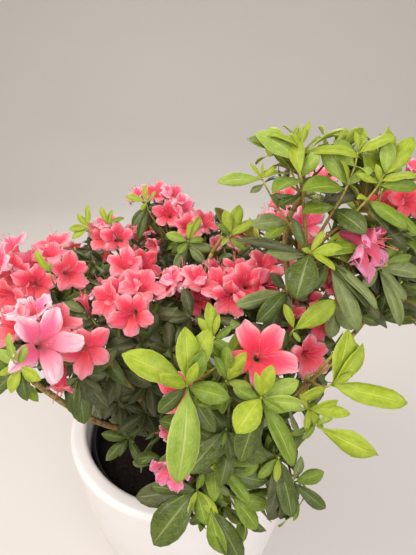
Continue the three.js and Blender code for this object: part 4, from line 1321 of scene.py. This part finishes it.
def petal_half_angle(share, radius, broad, claw):
    """How far a petal reaches round the corolla each way: to its neighbours down in the
    tube, then as an oblong lobe, narrower at its foot, with a rounded tip."""
    in_tube = math.radians(38)
    if share < LOBE_START:
        return in_tube
    t = (share - LOBE_START) / (1 - LOBE_START)
    if t < LOBE_WIDEST:
        half_width = broad * (claw + (1 - claw) * t / LOBE_WIDEST)
    else:
        half_width = broad * math.sqrt(1.002 - ((t - LOBE_WIDEST) / (1 - LOBE_WIDEST)) ** 2.6)
    return min(in_tube, math.asin(min(1.0, half_width / radius)))


def add_petal(bm, layer, around, blotched, habit, random, columns, rows):
    """One of a blossom's five lobes with its share of the tube."""
    openness, ruffle, broad, claw, droop = habit
    before_faces, before_verts = set(bm.faces), set(bm.verts)
    bmesh.ops.create_grid(bm, x_segments=columns, y_segments=rows, size=0.5)
    verts = [vert for vert in bm.verts if vert not in before_verts]
    faces = [face for face in bm.faces if face not in before_faces]
    for face in faces:
        for loop in face.loops:
            across, along = loop.vert.co.x + 0.5, loop.vert.co.y + 0.5
            loop[layer].uv = ((0.01 if blotched else 0.51) + 0.48 * across, 0.01 + 0.98 * along)
    length = 1 + 0.14 * (random() - 0.5)
    phase, bend, cup = 6 * random(), 0.26 * (random() - 0.5), 0.06 + 0.14 * random()
    overlap = 0.012 * (1 if random() > 0.5 else -1)
    for vert in verts:
        across, along = 2 * vert.co.x, vert.co.y + 0.5
        share = 1 - (1 - along) ** 1.7
        free = max(0.0, (share - LOBE_START) / (1 - LOBE_START))
        radius, height = petal_profile(share * length, openness)
        frill = 1 + 0.08 * ruffle * free * math.sin(15 * share + phase + 2 * across)
        half_angle = petal_half_angle(share, radius, broad, claw)
        radius *= 1 + 0.03 * ruffle * free * math.sin(16 * across * half_angle + 2 * phase)
        angle = around + across * frill * half_angle + bend * share * share
        wavy = ruffle * free * abs(across) ** 1.3 * math.sin(14 * share + 4 * across + phase)
        rib = -0.05 * free * (1 - abs(across)) ** 2
        rolled = -cup * free * across * across
        z = height + 0.07 * wavy + rib + rolled + overlap * free * across
        fallen = droop * free * (0.6 + 0.4 * math.sin(angle)) * (1 + 0.3 * math.sin(5 * across + phase))
        vert.co = (
            BLOSSOM_RADIUS * radius * math.cos(angle) * (1 - 0.35 * droop * free),
            BLOSSOM_RADIUS * (radius * math.sin(angle) - 1.1 * fallen),
            BLOSSOM_DEPTH * z,
        )
    bmesh.ops.solidify(bm, geom=faces, thickness=PETAL_THICKNESS)
    bm.normal_update()
    originals = set(verts)
    rims = set()
    for face in bm.faces:
        if face in before_faces:
            continue
        kept = [vert in originals for vert in face.verts]
        if any(kept) and not all(kept):
            rims.add(face)
            for loop in face.loops:
                u = (0.02 if blotched else 0.52) + (0.012 if loop.vert in originals else 0.0)
                loop[layer].uv = (u, 0.5 + 0.4 * (loop.vert.co.z / BLOSSOM_DEPTH))
    return rims


def corolla(seed, openness, ruffle, broad, claw=0.9, droop=0.0, columns=6, rows=8):
    """A whole corolla, its root at the origin, its face up +Z and its upper lobe up +Y:
    how far it opens, how wavy its margins are, how broad its lobes and their feet are, how
    far they hang, and how many faces a lobe has each way."""
    bm = bmesh.new()
    layer = bm.loops.layers.uv.new(MAP)
    random = seeded(seed)
    rims = set()
    for k in range(PETALS):
        around = math.pi / 2 + k * 2 * math.pi / PETALS
        blotched = k in (0, 1, 4)
        habit = (openness, ruffle, broad, claw, droop)
        rims |= add_petal(bm, layer, around, blotched, habit, random, columns, rows)
    bm.faces.index_update()
    return Shape(bm, flat={face.index for face in rims})


def small_ball():
    """What stands at the end of a filament or of the style."""
    bm = bmesh.new()
    bmesh.ops.create_icosphere(bm, subdivisions=1, radius=1)
    return Shape(bm)


COROLLAS = [
    corolla(11, 1.0, 1.6, 0.41),
    corolla(23, 0.95, 2.2, 0.43),
    corolla(37, 0.88, 2.0, 0.40),
    corolla(51, 1.03, 1.5, 0.42),
]
FINE_COROLLAS = [
    corolla(11, 1.0, 1.4, 0.29, 0.62, **FINE_PETAL),
    corolla(29, 1.0, 1.7, 0.31, 0.64, **FINE_PETAL),
]
HALF_OPEN_COROLLAS = [corolla(61, 0.6, 1.2, 0.36), corolla(67, 0.5, 1.0, 0.34)]
FADED_COROLLAS = [
    corolla(71, 0.95, 2.0, 0.6, 0.85, 0.5, **FINE_PETAL),
    corolla(83, 0.85, 2.4, 0.58, 0.85, 0.55, **FINE_PETAL),
]
BALL = small_ball()
THREAD = bar(3, 5)
TWIG_BAR = bar(5, 6)
SHOOT_BAR = bar(6, 8)


class Plant:
    """The piles of the plant's small parts, and what has been placed so far."""

    def __init__(self):
        self.leaves = {name: Pile() for name in LEAF_TINTS}
        self.petals = {name: Pile() for name in PETAL_TINTS}
        self.twigs, self.shoots = Pile(), Pile()
        self.filaments, self.anthers, self.scales, self.calyces = Pile(), Pile(), Pile(), Pile()
        self.faces = []
        self.shown = []
        self.collars = []

    def clear_of_faces(self, spot, room):
        """True where a spot isn't within a blossom, nor just in front of its face."""
        for face, along in self.faces:
            offset = spot - face
            ahead = offset.dot(along)
            aside = (offset - ahead * along).length
            if offset.length < room or (0 < ahead < FACE_VIEW and aside < room * 0.8):
                return False
        return True

    def show(self, place, radius):
        """Keeps what is placed here in sight from the photograph's view."""
        across, down, depth = view_spot(place)
        self.shown.append((across, down, depth, radius * VIEW_FOCUS / depth))

    def hides(self, place, spare=LEAF_HALF_WIDTH):
        """True where a thing would cover what is kept in sight or a part kept open, or come
        between the eye and the nearest sprays. Spare is its own half width in pixels."""
        across, down, depth = view_spot(place)
        if depth < NEAREST_GROWN and 0 < across < VIEW_WIDTH and 0 < down < VIEW_HEIGHT:
            return True
        if in_views(place, OPEN_VIEWS):
            return True
        return any(
            depth < far and math.hypot(across - x, down - y) < radius + spare
            for x, y, far, radius in self.shown
        )


PLANT = Plant()


def place_leaf(root, along, above, length, kind, random, fine=False, width=0.0):
    """A leaf from its root, growing along one direction with its upper face above."""
    side = along.cross(above)
    if side.length < 0.05:
        side = along.cross(SIDEWAYS)
    side.normalize()
    top = side.cross(along)
    shapes = FINE_LEAVES if fine else PLAIN_LEAVES
    shape = shapes[int(random() * len(shapes)) % len(shapes)]
    width = width or 0.86 + 0.28 * random()
    PLANT.leaves[kind].place(shape, root, side * width, along, top, length)


def clear_of_pot(spot):
    """True inside the planter's mouth above the compost, above its rim, or outside it."""
    if spot.z > POT_HEIGHT + OFF_POT:
        return True
    away = math.hypot(spot.x, spot.y)
    mouth = pot_inner_radius(LINER_TOP) - OFF_WALL
    return (away < mouth and spot.z > SOIL_TOP + OFF_POT) or away > RIM_RADIUS + OFF_POT


def in_box(spot, margin):
    """True where a point is in the model's box, or at most a margin outside it."""
    return all(CAD_LOW[i] - margin < spot[i] < CAD_HIGH[i] + margin for i in range(3))


def in_space(mass, spot, slack):
    """True where a point is in the mass's own space, or at most slack outside it."""
    offset = spot - mass.middle
    if offset.length > mass.reach + slack:
        return False
    return all(offset.dot(across) < at + slack for across, at in mass.walls)


def plan_spaces(masses):
    """The walls between each mass and its neighbours, as in the model."""
    for mass in masses:
        mass.walls = []
        for other in masses:
            if other is mass:
                continue
            across = other.middle - mass.middle
            apart = across.length
            at = (apart * apart + mass.reach ** 2 - other.reach ** 2) / (2 * apart)
            mass.walls.append((across / apart, at))


def rosette(mass, tip, growing, length, count, kind, random, fine=False, spread=(0.35, 1.45),
            chosen_place=False):
    """Leaves in a spiral at a shoot's tip: small and upright in its middle, large and
    spreading round it."""
    first = 6 * random()
    placed = 0
    for i in range(count):
        share = i / max(1, count - 1)
        around = first + i * GOLDEN_ANGLE + 0.3 * random()
        tilt = spread[0] + (spread[1] - spread[0]) * share ** 0.8 + 0.25 * (random() - 0.5)
        along = tilted(growing, tilt, around)
        size = length * (0.5 + 0.55 * share ** 0.7) * (0.88 + 0.24 * random())
        root = tip - growing * (0.5 + 5.5 * share) * MM
        end = root + along * size
        middle = root + along * 0.55 * size
        draw = random()
        if not (clear_of_pot(end) and clear_of_pot(middle) and in_box(end, PAST_BOX)):
            continue
        if not PLANT.clear_of_faces(middle, ROOM_FOR_FACE):
            continue
        if not PLANT.clear_of_faces(end, ROOM_AT_LEAF_TIP):
            continue
        if not chosen_place:
            if not in_space(mass, middle, LEAF_PAST_SPACE):
                continue
            if any(PLANT.hides(root + along * size * part) for part in (0.3, 0.65, 1.0)):
                continue
        tinted = kind if draw > 0.15 or i == 0 else OLDER.get(kind, kind)
        place_leaf(root, along, growing, size, tinted, random, fine)
        placed += 1
    return placed


def tip_leaves(mass, tip, growing, length, kind, random):
    """The rosette at a leafy tip. Thin spring leaves are the finer shapes."""
    return rosette(mass, tip, growing, length, TIP_LEAVES, kind, random, fine=kind == "spring")


def truss_leaves(mass, tip, growing, length, kind, random):
    """The leaves that spread just below a truss of blossom."""
    below = tip - BELOW_BLOSSOM * growing
    return rosette(mass, below, growing, length, TRUSS_LEAVES, kind, random, spread=TRUSS_SPREAD)


def bloom(root, along, size, kind, random, hero=False, turn=0.0):
    """A blossom on its short stalk: calyx, corolla, stamens and the longer style. Its flared
    lobes are the upper ones."""
    upright = UP if abs(along.z) < 0.93 else tilted(along, math.pi / 2, 6 * random())
    front = (upright - upright.dot(along) * along).normalized()
    front.rotate(Quaternion(along, turn))
    side = front.cross(along)
    shapes = FINE_COROLLAS if hero else COROLLAS
    if kind == "faded":
        shapes = FADED_COROLLAS
    elif size < HALF_OPEN_BELOW:
        shapes = HALF_OPEN_COROLLAS
    shape = shapes[int(random() * len(shapes)) % len(shapes)]
    PLANT.petals[kind].place(shape, root, side, front, along, size)
    PLANT.faces.append((root + along * BLOSSOM_DEPTH * size * 0.95, along))
    for k in range(1 + STAMENS):
        around = k * GOLDEN_ANGLE + random()
        lean = (0.10 + 0.14 * random()) if k else 0.16
        reach = BLOSSOM_DEPTH * size * ((1.05 + 0.28 * random()) if k else 1.5)
        way = tilted(along, lean, around)
        start = root + along * 2 * MM * size
        end = start + way * reach + front * 3.5 * MM * size
        curve = Bend(start, start + along * 0.6 * reach, end)
        PLANT.filaments.draw(THREAD, curve, THREAD_FOOT_RADIUS, THREAD_TIP_RADIUS)
        tip_size = (0.6 if k else 0.55) * MM
        pile = PLANT.anthers if k else PLANT.filaments
        pile.place(BALL, end, side, front, way * 1.5, tip_size)
    for k in range(PETALS):
        around = k * 2 * math.pi / PETALS
        way = tilted(along, 0.5, around)
        place_small(PLANT.calyces, root - along * 1.5 * MM, way, along, 7 * MM * size)


def place_small(pile, root, along, above, length):
    """A small blade: a calyx lobe or a bud scale."""
    side = along.cross(above).normalized()
    pile.place(PLAIN_LEAVES[0], root, side * 1.3, along, side.cross(along), length)


def stalk_line(start, end, leaving, arriving):
    """A twig's line from one place to another, leaving and arriving along two directions."""
    length = (end - start).length
    return Bend(start, start + leaving * 0.35 * length, end - arriving * 0.35 * length, end)


def draw_twig(fork, tip, leaving, growing):
    """A fine twig from its fork to its tip."""
    curve = stalk_line(fork, tip, leaving, growing)
    PLANT.twigs.draw(TWIG_BAR, curve, TWIG_FOOT_RADIUS, TWIG_TIP_RADIUS)


def bud_scales(tip, growing, random):
    """The papery brown scales that a truss of blossom burst from."""
    for k in range(BUD_SCALES):
        way = tilted(growing, 0.5 + 0.4 * random(), k * GOLDEN_ANGLE)
        place_small(PLANT.scales, tip - growing * 3 * MM, way, growing, (6 + 3 * random()) * MM)


def leaf_kind(mass, rising, random):
    """The tint of a spray's leaves: new growth on the outer tips, dull old leaves within, whose old
    tint is darker partly as painted shade.
    """
    draw = random()
    if mass.name in SPRING_MASSES:
        return "spring" if rising > 0.35 or draw < 0.3 else "green"
    if mass.name in GREEN_MASSES:
        if rising > 0.8 and draw < 0.45:
            return "spring"
        return "green" if rising > 0.3 or draw < 0.3 else "mature"
    if rising > 0.85 and draw < 0.4:
        return "spring"
    return "mature" if draw < 0.45 else "old"


def grow_mass(mass):
    """A mass: its shoots as in the model, each with its truss of blossom or its rosette, and
    finer twigs off it. A shoot that carries nothing is left out."""
    PLANT.shoots.draw(SHOOT_BAR, mass.stem, STEM_FOOT_RADIUS, STEM_TIP_RADIUS)
    leafy = mass.name in SPRING_MASSES or mass.name in GREEN_MASSES
    twigs = SPRING_TWIGS if mass.name in SPRING_MASSES else SHOOT_TWIGS
    for k in range(mass.shoots):
        random = stream(SHOOT_SEEDS, mass.row, k)
        share = k / (mass.shoots - 1)
        polar = math.acos(1 - DOME_SHARE * share)
        heading = tilted(mass.facing, polar, k * GOLDEN_ANGLE + mass.turn)
        fork = Vector(mass.stem.at(1 - 0.6 * share))
        tip = mass.heart + heading * mass.reach * (0.46 + 0.1 * random())
        growing = ((tip - fork).normalized() + heading).normalized()
        # The model draws the turn of its first leaf here.
        random()
        curve = stalk_line(fork, tip, (tip - fork).normalized(), growing)
        rising = max(0.0, heading.dot(mass.facing))
        if k < mass.blossoming:
            carried = truss(mass, tip, growing, random)
            kind = leaf_kind(mass, 0.2, random)
            carried += truss_leaves(mass, tip, growing, mass.leaf, kind, random)
        else:
            kind = leaf_kind(mass, rising, random)
            carried = tip_leaves(mass, tip, growing, mass.leaf, kind, random)
        if not carried:
            continue
        PLANT.shoots.draw(SHOOT_BAR, curve, SHOOT_FOOT_RADIUS, SHOOT_TIP_RADIUS)
        for j in range(twigs):
            side_twig(mass, curve, j, random, leafy)
    for j in range(STEM_TWIGS):
        side_twig(mass, mass.stem, j, stream(STEM_TWIG_SEEDS, mass.row, j), leafy)
    for j in range(INNER_TWIGS):
        inner_twig(mass, j, stream(INNER_TWIG_SEEDS, mass.row, j))


def side_twig(mass, curve, j, random, leafy):
    """A finer twig that forks off a shoot and ends in a rosette of leaves, or on the far side
    of the crown in blossom too."""
    fork_share = 0.3 + 0.55 * random()
    fork = Vector(curve.at(fork_share))
    way = Vector(curve.heading(fork_share))
    leaving = tilted(way, 0.7 + 0.5 * random(), j * GOLDEN_ANGLE + 6 * random())
    leaving = (leaving + 0.25 * UP).normalized()
    length = mass.reach * (0.35 + 0.4 * random())
    tip = fork + leaving * length
    if not in_space(mass, tip, TWIG_PAST_SPACE) or not clear_of_pot(tip):
        tip = fork + leaving * length * 0.5
        if not in_space(mass, tip, 2 * TWIG_PAST_SPACE) or not clear_of_pot(tip):
            return
    if not PLANT.clear_of_faces(tip, ROOM_FOR_FACE):
        return
    growing = (leaving + 0.5 * (tip - mass.heart).normalized() + 0.2 * UP).normalized()
    rising = (tip - mass.middle).dot(mass.facing) / mass.reach + 0.3
    if not leafy and rising > 0.75 and random() < 0.75:
        return
    kind = leaf_kind(mass, rising, random)
    if not leafy and growing.dot(LOOKING) > AWAY_FROM_VIEW and random() < 0.6:
        carried = truss(mass, tip, growing, random)
        carried += truss_leaves(mass, tip, growing, mass.leaf * 0.92, kind, random)
    else:
        carried = tip_leaves(mass, tip, growing, mass.leaf * 0.92, kind, random)
    if carried:
        draw_twig(fork, tip, leaving, growing)


def inner_twig(mass, j, random):
    """A short twig on the mass's shaded side, with last year's dull leaves, whose dull tints are darker
    partly as painted shade.
    """
    fork = Vector(mass.stem.at(0.4 + 0.5 * random()))
    way = tilted(mass.facing, 1.1 + 1.3 * random(), j * GOLDEN_ANGLE + mass.turn)
    tip = mass.heart + way * mass.reach * (0.3 + 0.25 * random())
    if not in_space(mass, tip, 0.0) or not clear_of_pot(tip):
        return
    if not PLANT.clear_of_faces(tip, ROOM_FOR_FACE):
        return
    growing = (way + 0.6 * UP).normalized()
    kind = "mature" if random() < 0.4 else "old"
    if rosette(mass, tip, growing, mass.leaf * 0.9, TIP_LEAVES, kind, random):
        draw_twig(fork, tip, (tip - fork).normalized(), growing)


def truss(mass, tip, growing, random):
    """Up to three blossoms from one bud, where there is room for them. Gives their number."""
    carried = 0
    for k in range(TRUSS_BLOSSOMS):
        tilt = 0.0 if k == 0 else 0.95 + 0.3 * random()
        along = tilted(growing, tilt, k * 2.2 + 6 * random())
        along = (along + 0.15 * UP).normalized()
        size = (0.98 if k == 0 else 0.9) * (0.92 + 0.16 * random())
        face = tip + along * BLOSSOM_DEPTH * size
        draw = random()
        if not PLANT.clear_of_faces(face, ROOM_ROUND_TRUSS):
            continue
        if not in_box(face + along * FACE_IN_BOX, 0.0):
            continue
        if PLANT.hides(face, TRUSS_HALF_WIDTH) or in_views(face, LEAFY_VIEWS):
            continue
        if not in_space(mass, face, FACE_PAST_SPACE):
            continue
        # A few take the red tint, a deeper colour that is partly painted shade.
        kind = "coral" if draw < 0.66 else ("pink" if draw < 0.94 else "red")
        bloom(tip + along * 1.5 * MM, along, size, kind, random)
        carried += 1
    if carried:
        bud_scales(tip, growing, random)
    return carried


def place_blooms(by_name):
    """The blossoms that stand out in the view, each on a stalk from its mass's stem."""
    for k, (name, across, down, depth, right, up, near, size, kind, turn) in enumerate(BLOOMS):
        random = stream(BLOOM_SEEDS, k)
        mass = by_name[name]
        along = towards(right, up, near)
        face = seen(across, down, depth)
        root = face - along * BLOSSOM_DEPTH * size * 0.9
        shoot_to(mass, root, along)
        bud_scales(root, along, random)
        bloom(root, along, size, kind, random, hero=size > FINE_ABOVE, turn=math.radians(turn))
        PLANT.collars.append((mass, root, along, random))
        PLANT.show(face, 0.75 * BLOSSOM_RADIUS * size)


def place_collars():
    """The leaves that stand round the foot of each chosen blossom."""
    for mass, root, along, random in PLANT.collars:
        kind = "green" if mass.name in GREEN_MASSES or random() < 0.3 else "mature"
        below = root - BELOW_BLOSSOM * along
        rosette(mass, below, along, mass.leaf * 0.95, COLLAR_LEAVES, kind, random, spread=COLLAR_SPREAD)


def shoot_to(mass, tip, growing, start=SHOOT_LEAVES_STEM):
    """A shoot from a mass's stem to a chosen place, the stouter the longer it is."""
    foot = Vector(mass.stem.at(start))
    leaving = ((tip - foot).normalized() + 0.4 * UP).normalized()
    radius = min(STEM_FOOT_RADIUS, SHOOT_FOOT_RADIUS * (0.6 + 4 * (tip - foot).length))
    curve = stalk_line(foot, tip, leaving, growing)
    PLANT.shoots.draw(SHOOT_BAR, curve, radius, TWIG_TIP_RADIUS)
    return curve


def place_sprays(by_name):
    """The sprays that stand out in the view, leaf by leaf."""
    for k, (name, across, down, depth, right, up, near, leaves) in enumerate(SPRAYS):
        random = stream(SPRAY_SEEDS, k)
        growing = towards(right, up, near)
        tip = seen(across, down, depth)
        if name in CARRIED_BY:
            curve = shoot_to(by_name[CARRIED_BY[name]], tip, growing, CARRIER_END)
        else:
            curve = shoot_to(by_name[name], tip, growing)
        reach = curve.length()
        for below, tip_across, tip_down, nearer, kind, width in leaves:
            root = Vector(curve.at(1 - min(0.9, below * MM / reach)))
            end = seen(tip_across, tip_down, depth - nearer * MM)
            along = (end - root).normalized()
            length = (end - root).length
            above = (0.45 * growing - LOOKING).normalized()
            above.rotate(Quaternion(along, 0.8 * (random() - 0.5)))
            place_leaf(root, along, above, length, kind, random, fine=True, width=width)
            for part in (0.4, 0.75):
                PLANT.show(root + part * length * along, 0.2 * length)


def place_rosettes(by_name):
    """The dull rosettes that show deeper in the crown, darker partly as painted shade there."""
    for k, (name, across, down, depth, right, up, near, length, count, kind) in enumerate(ROSETTES):
        random = stream(ROSETTE_SEEDS, k)
        growing = towards(right, up, near)
        tip = seen(across, down, depth)
        shoot_to(by_name[name], tip, growing)
        rosette(by_name[name], tip, growing, length * MM, count, kind, random, spread=(0.7, 1.5),
                chosen_place=True)
        PLANT.show(tip, 0.4 * length * MM)


def make_crown():
    """All that grows: the chosen blossoms and sprays first, then each mass round them."""
    masses = [Mass(row, values) for row, values in enumerate(CROWN)]
    limbs = plan_wood(masses)
    plan_spaces(masses)
    make_wood(limbs)
    by_name = {mass.name: mass for mass in masses}
    place_blooms(by_name)
    place_sprays(by_name)
    place_rosettes(by_name)
    place_collars()
    for mass in masses:
        grow_mass(mass)
    nodes = [f"foliage_{mass.name}" for mass in masses]
    for name, pile in PLANT.leaves.items():
        pile.piece(f"leaves_{name}", LEAF_TINTS[name], "foliage", nodes)
    for name, pile in PLANT.petals.items():
        pile.piece(f"petals_{name}", PETAL_TINTS[name], "blossom")
    PLANT.shoots.piece("shoots", YOUNG_WOOD, "bark")
    PLANT.twigs.piece("twigs", YOUNG_WOOD, "bark")
    PLANT.filaments.piece("filaments", FILAMENT, "blossom")
    PLANT.anthers.piece("anthers", ANTHER, "blossom")
    PLANT.scales.piece("bud_scales", BUD_SCALE, "bark")
    PLANT.calyces.piece("calyces", CALYX, "foliage")


# Floor, light and camera

SWEEP_SIZE = 7.0
SWEEP_START = 2.2
SWEEP_ROUND = 1.2

# Lights: name, place, aim, size in metres, power in watts, and colour
LIGHTS = [
    ("key", (-1.3, -0.6, 2.3), (0.03, -0.05, 0.55), 1.2, 38, "#FFF8F0"),
    ("fill", (0.7, -1.9, 1.7), (0.05, -0.1, 0.55), 1.8, 34, "#F6F6FF"),
    ("back", (0.3, 1.8, 1.9), (0.05, 0, 0.6), 1.3, 20, "#FFFFFF"),
]


def make_floor():
    """A pale studio sweep: a flat floor that curves up far behind the plant."""
    bm = bmesh.new()
    turns = np.linspace(0, math.pi / 2, 13)
    line = [(-SWEEP_SIZE, 0.0)]
    line += [(SWEEP_START + SWEEP_ROUND * math.sin(a), SWEEP_ROUND * (1 - math.cos(a))) for a in turns]
    line += [(SWEEP_START + SWEEP_ROUND, SWEEP_SIZE)]
    verts = [bm.verts.new((-SWEEP_SIZE, y, z)) for y, z in line]
    edges = [bm.edges.new(pair) for pair in zip(verts, verts[1:])]
    made = bmesh.ops.extrude_edge_only(bm, edges=edges)["geom"]
    moved = [item for item in made if isinstance(item, bmesh.types.BMVert)]
    bmesh.ops.translate(bm, verts=moved, vec=(2 * SWEEP_SIZE, 0, 0))
    bmesh.ops.recalc_face_normals(bm, faces=bm.faces[:])
    for face in bm.faces:
        face.smooth = True
    floor = in_scene("floor", mesh_from(bm, "floor"))
    material, shader = surface("floor_pale_matt", {"Roughness": 0.9})
    cloud = add(material, "ShaderNodeTexNoise", {"Scale": 6.0, "Detail": 3.0})
    mixed = add(material, "ShaderNodeMix", {
        0: cloud.outputs["Fac"], 6: tint("#CCC6C1"), 7: tint("#C3BDB8")}, data_type="RGBA")
    feed(material, shader, colour=mixed.outputs[2])
    floor.data.materials.append(material)


def make_studio():
    """Soft daylight from the sky and three round lights, and the photograph's camera."""
    world = bpy.data.worlds.new("soft_daylight")
    world.use_nodes = True
    sky = world.node_tree.nodes["Background"]
    sky.inputs["Color"].default_value = tint("#E6E4DF")
    sky.inputs["Strength"].default_value = 1.0
    bpy.context.scene.world = world
    for name, place, aim, size, power, colour in LIGHTS:
        data = bpy.data.lights.new(name, "AREA")
        data.shape = "DISK"
        data.size = size
        data.energy = power
        data.color = tint(colour)[:3]
        light = in_scene(name, data)
        light.location = place
        light.rotation_euler = (Vector(aim) - Vector(place)).to_track_quat("-Z", "Y").to_euler()
    bpy.context.scene.view_settings.view_transform = "Standard"
    data = bpy.data.cameras.new("view")
    data.lens = CAMERA_LENS
    data.sensor_width = CAMERA_SENSOR
    data.clip_start = 0.01
    camera = in_scene("view", data)
    camera.location = CAMERA_PLACE
    camera.rotation_euler = (CAMERA_PITCH, 0, 0)
    bpy.context.scene.camera = camera


make_planter()
make_nursery_pot()
make_soil()
make_crown()
make_floor()
make_studio()
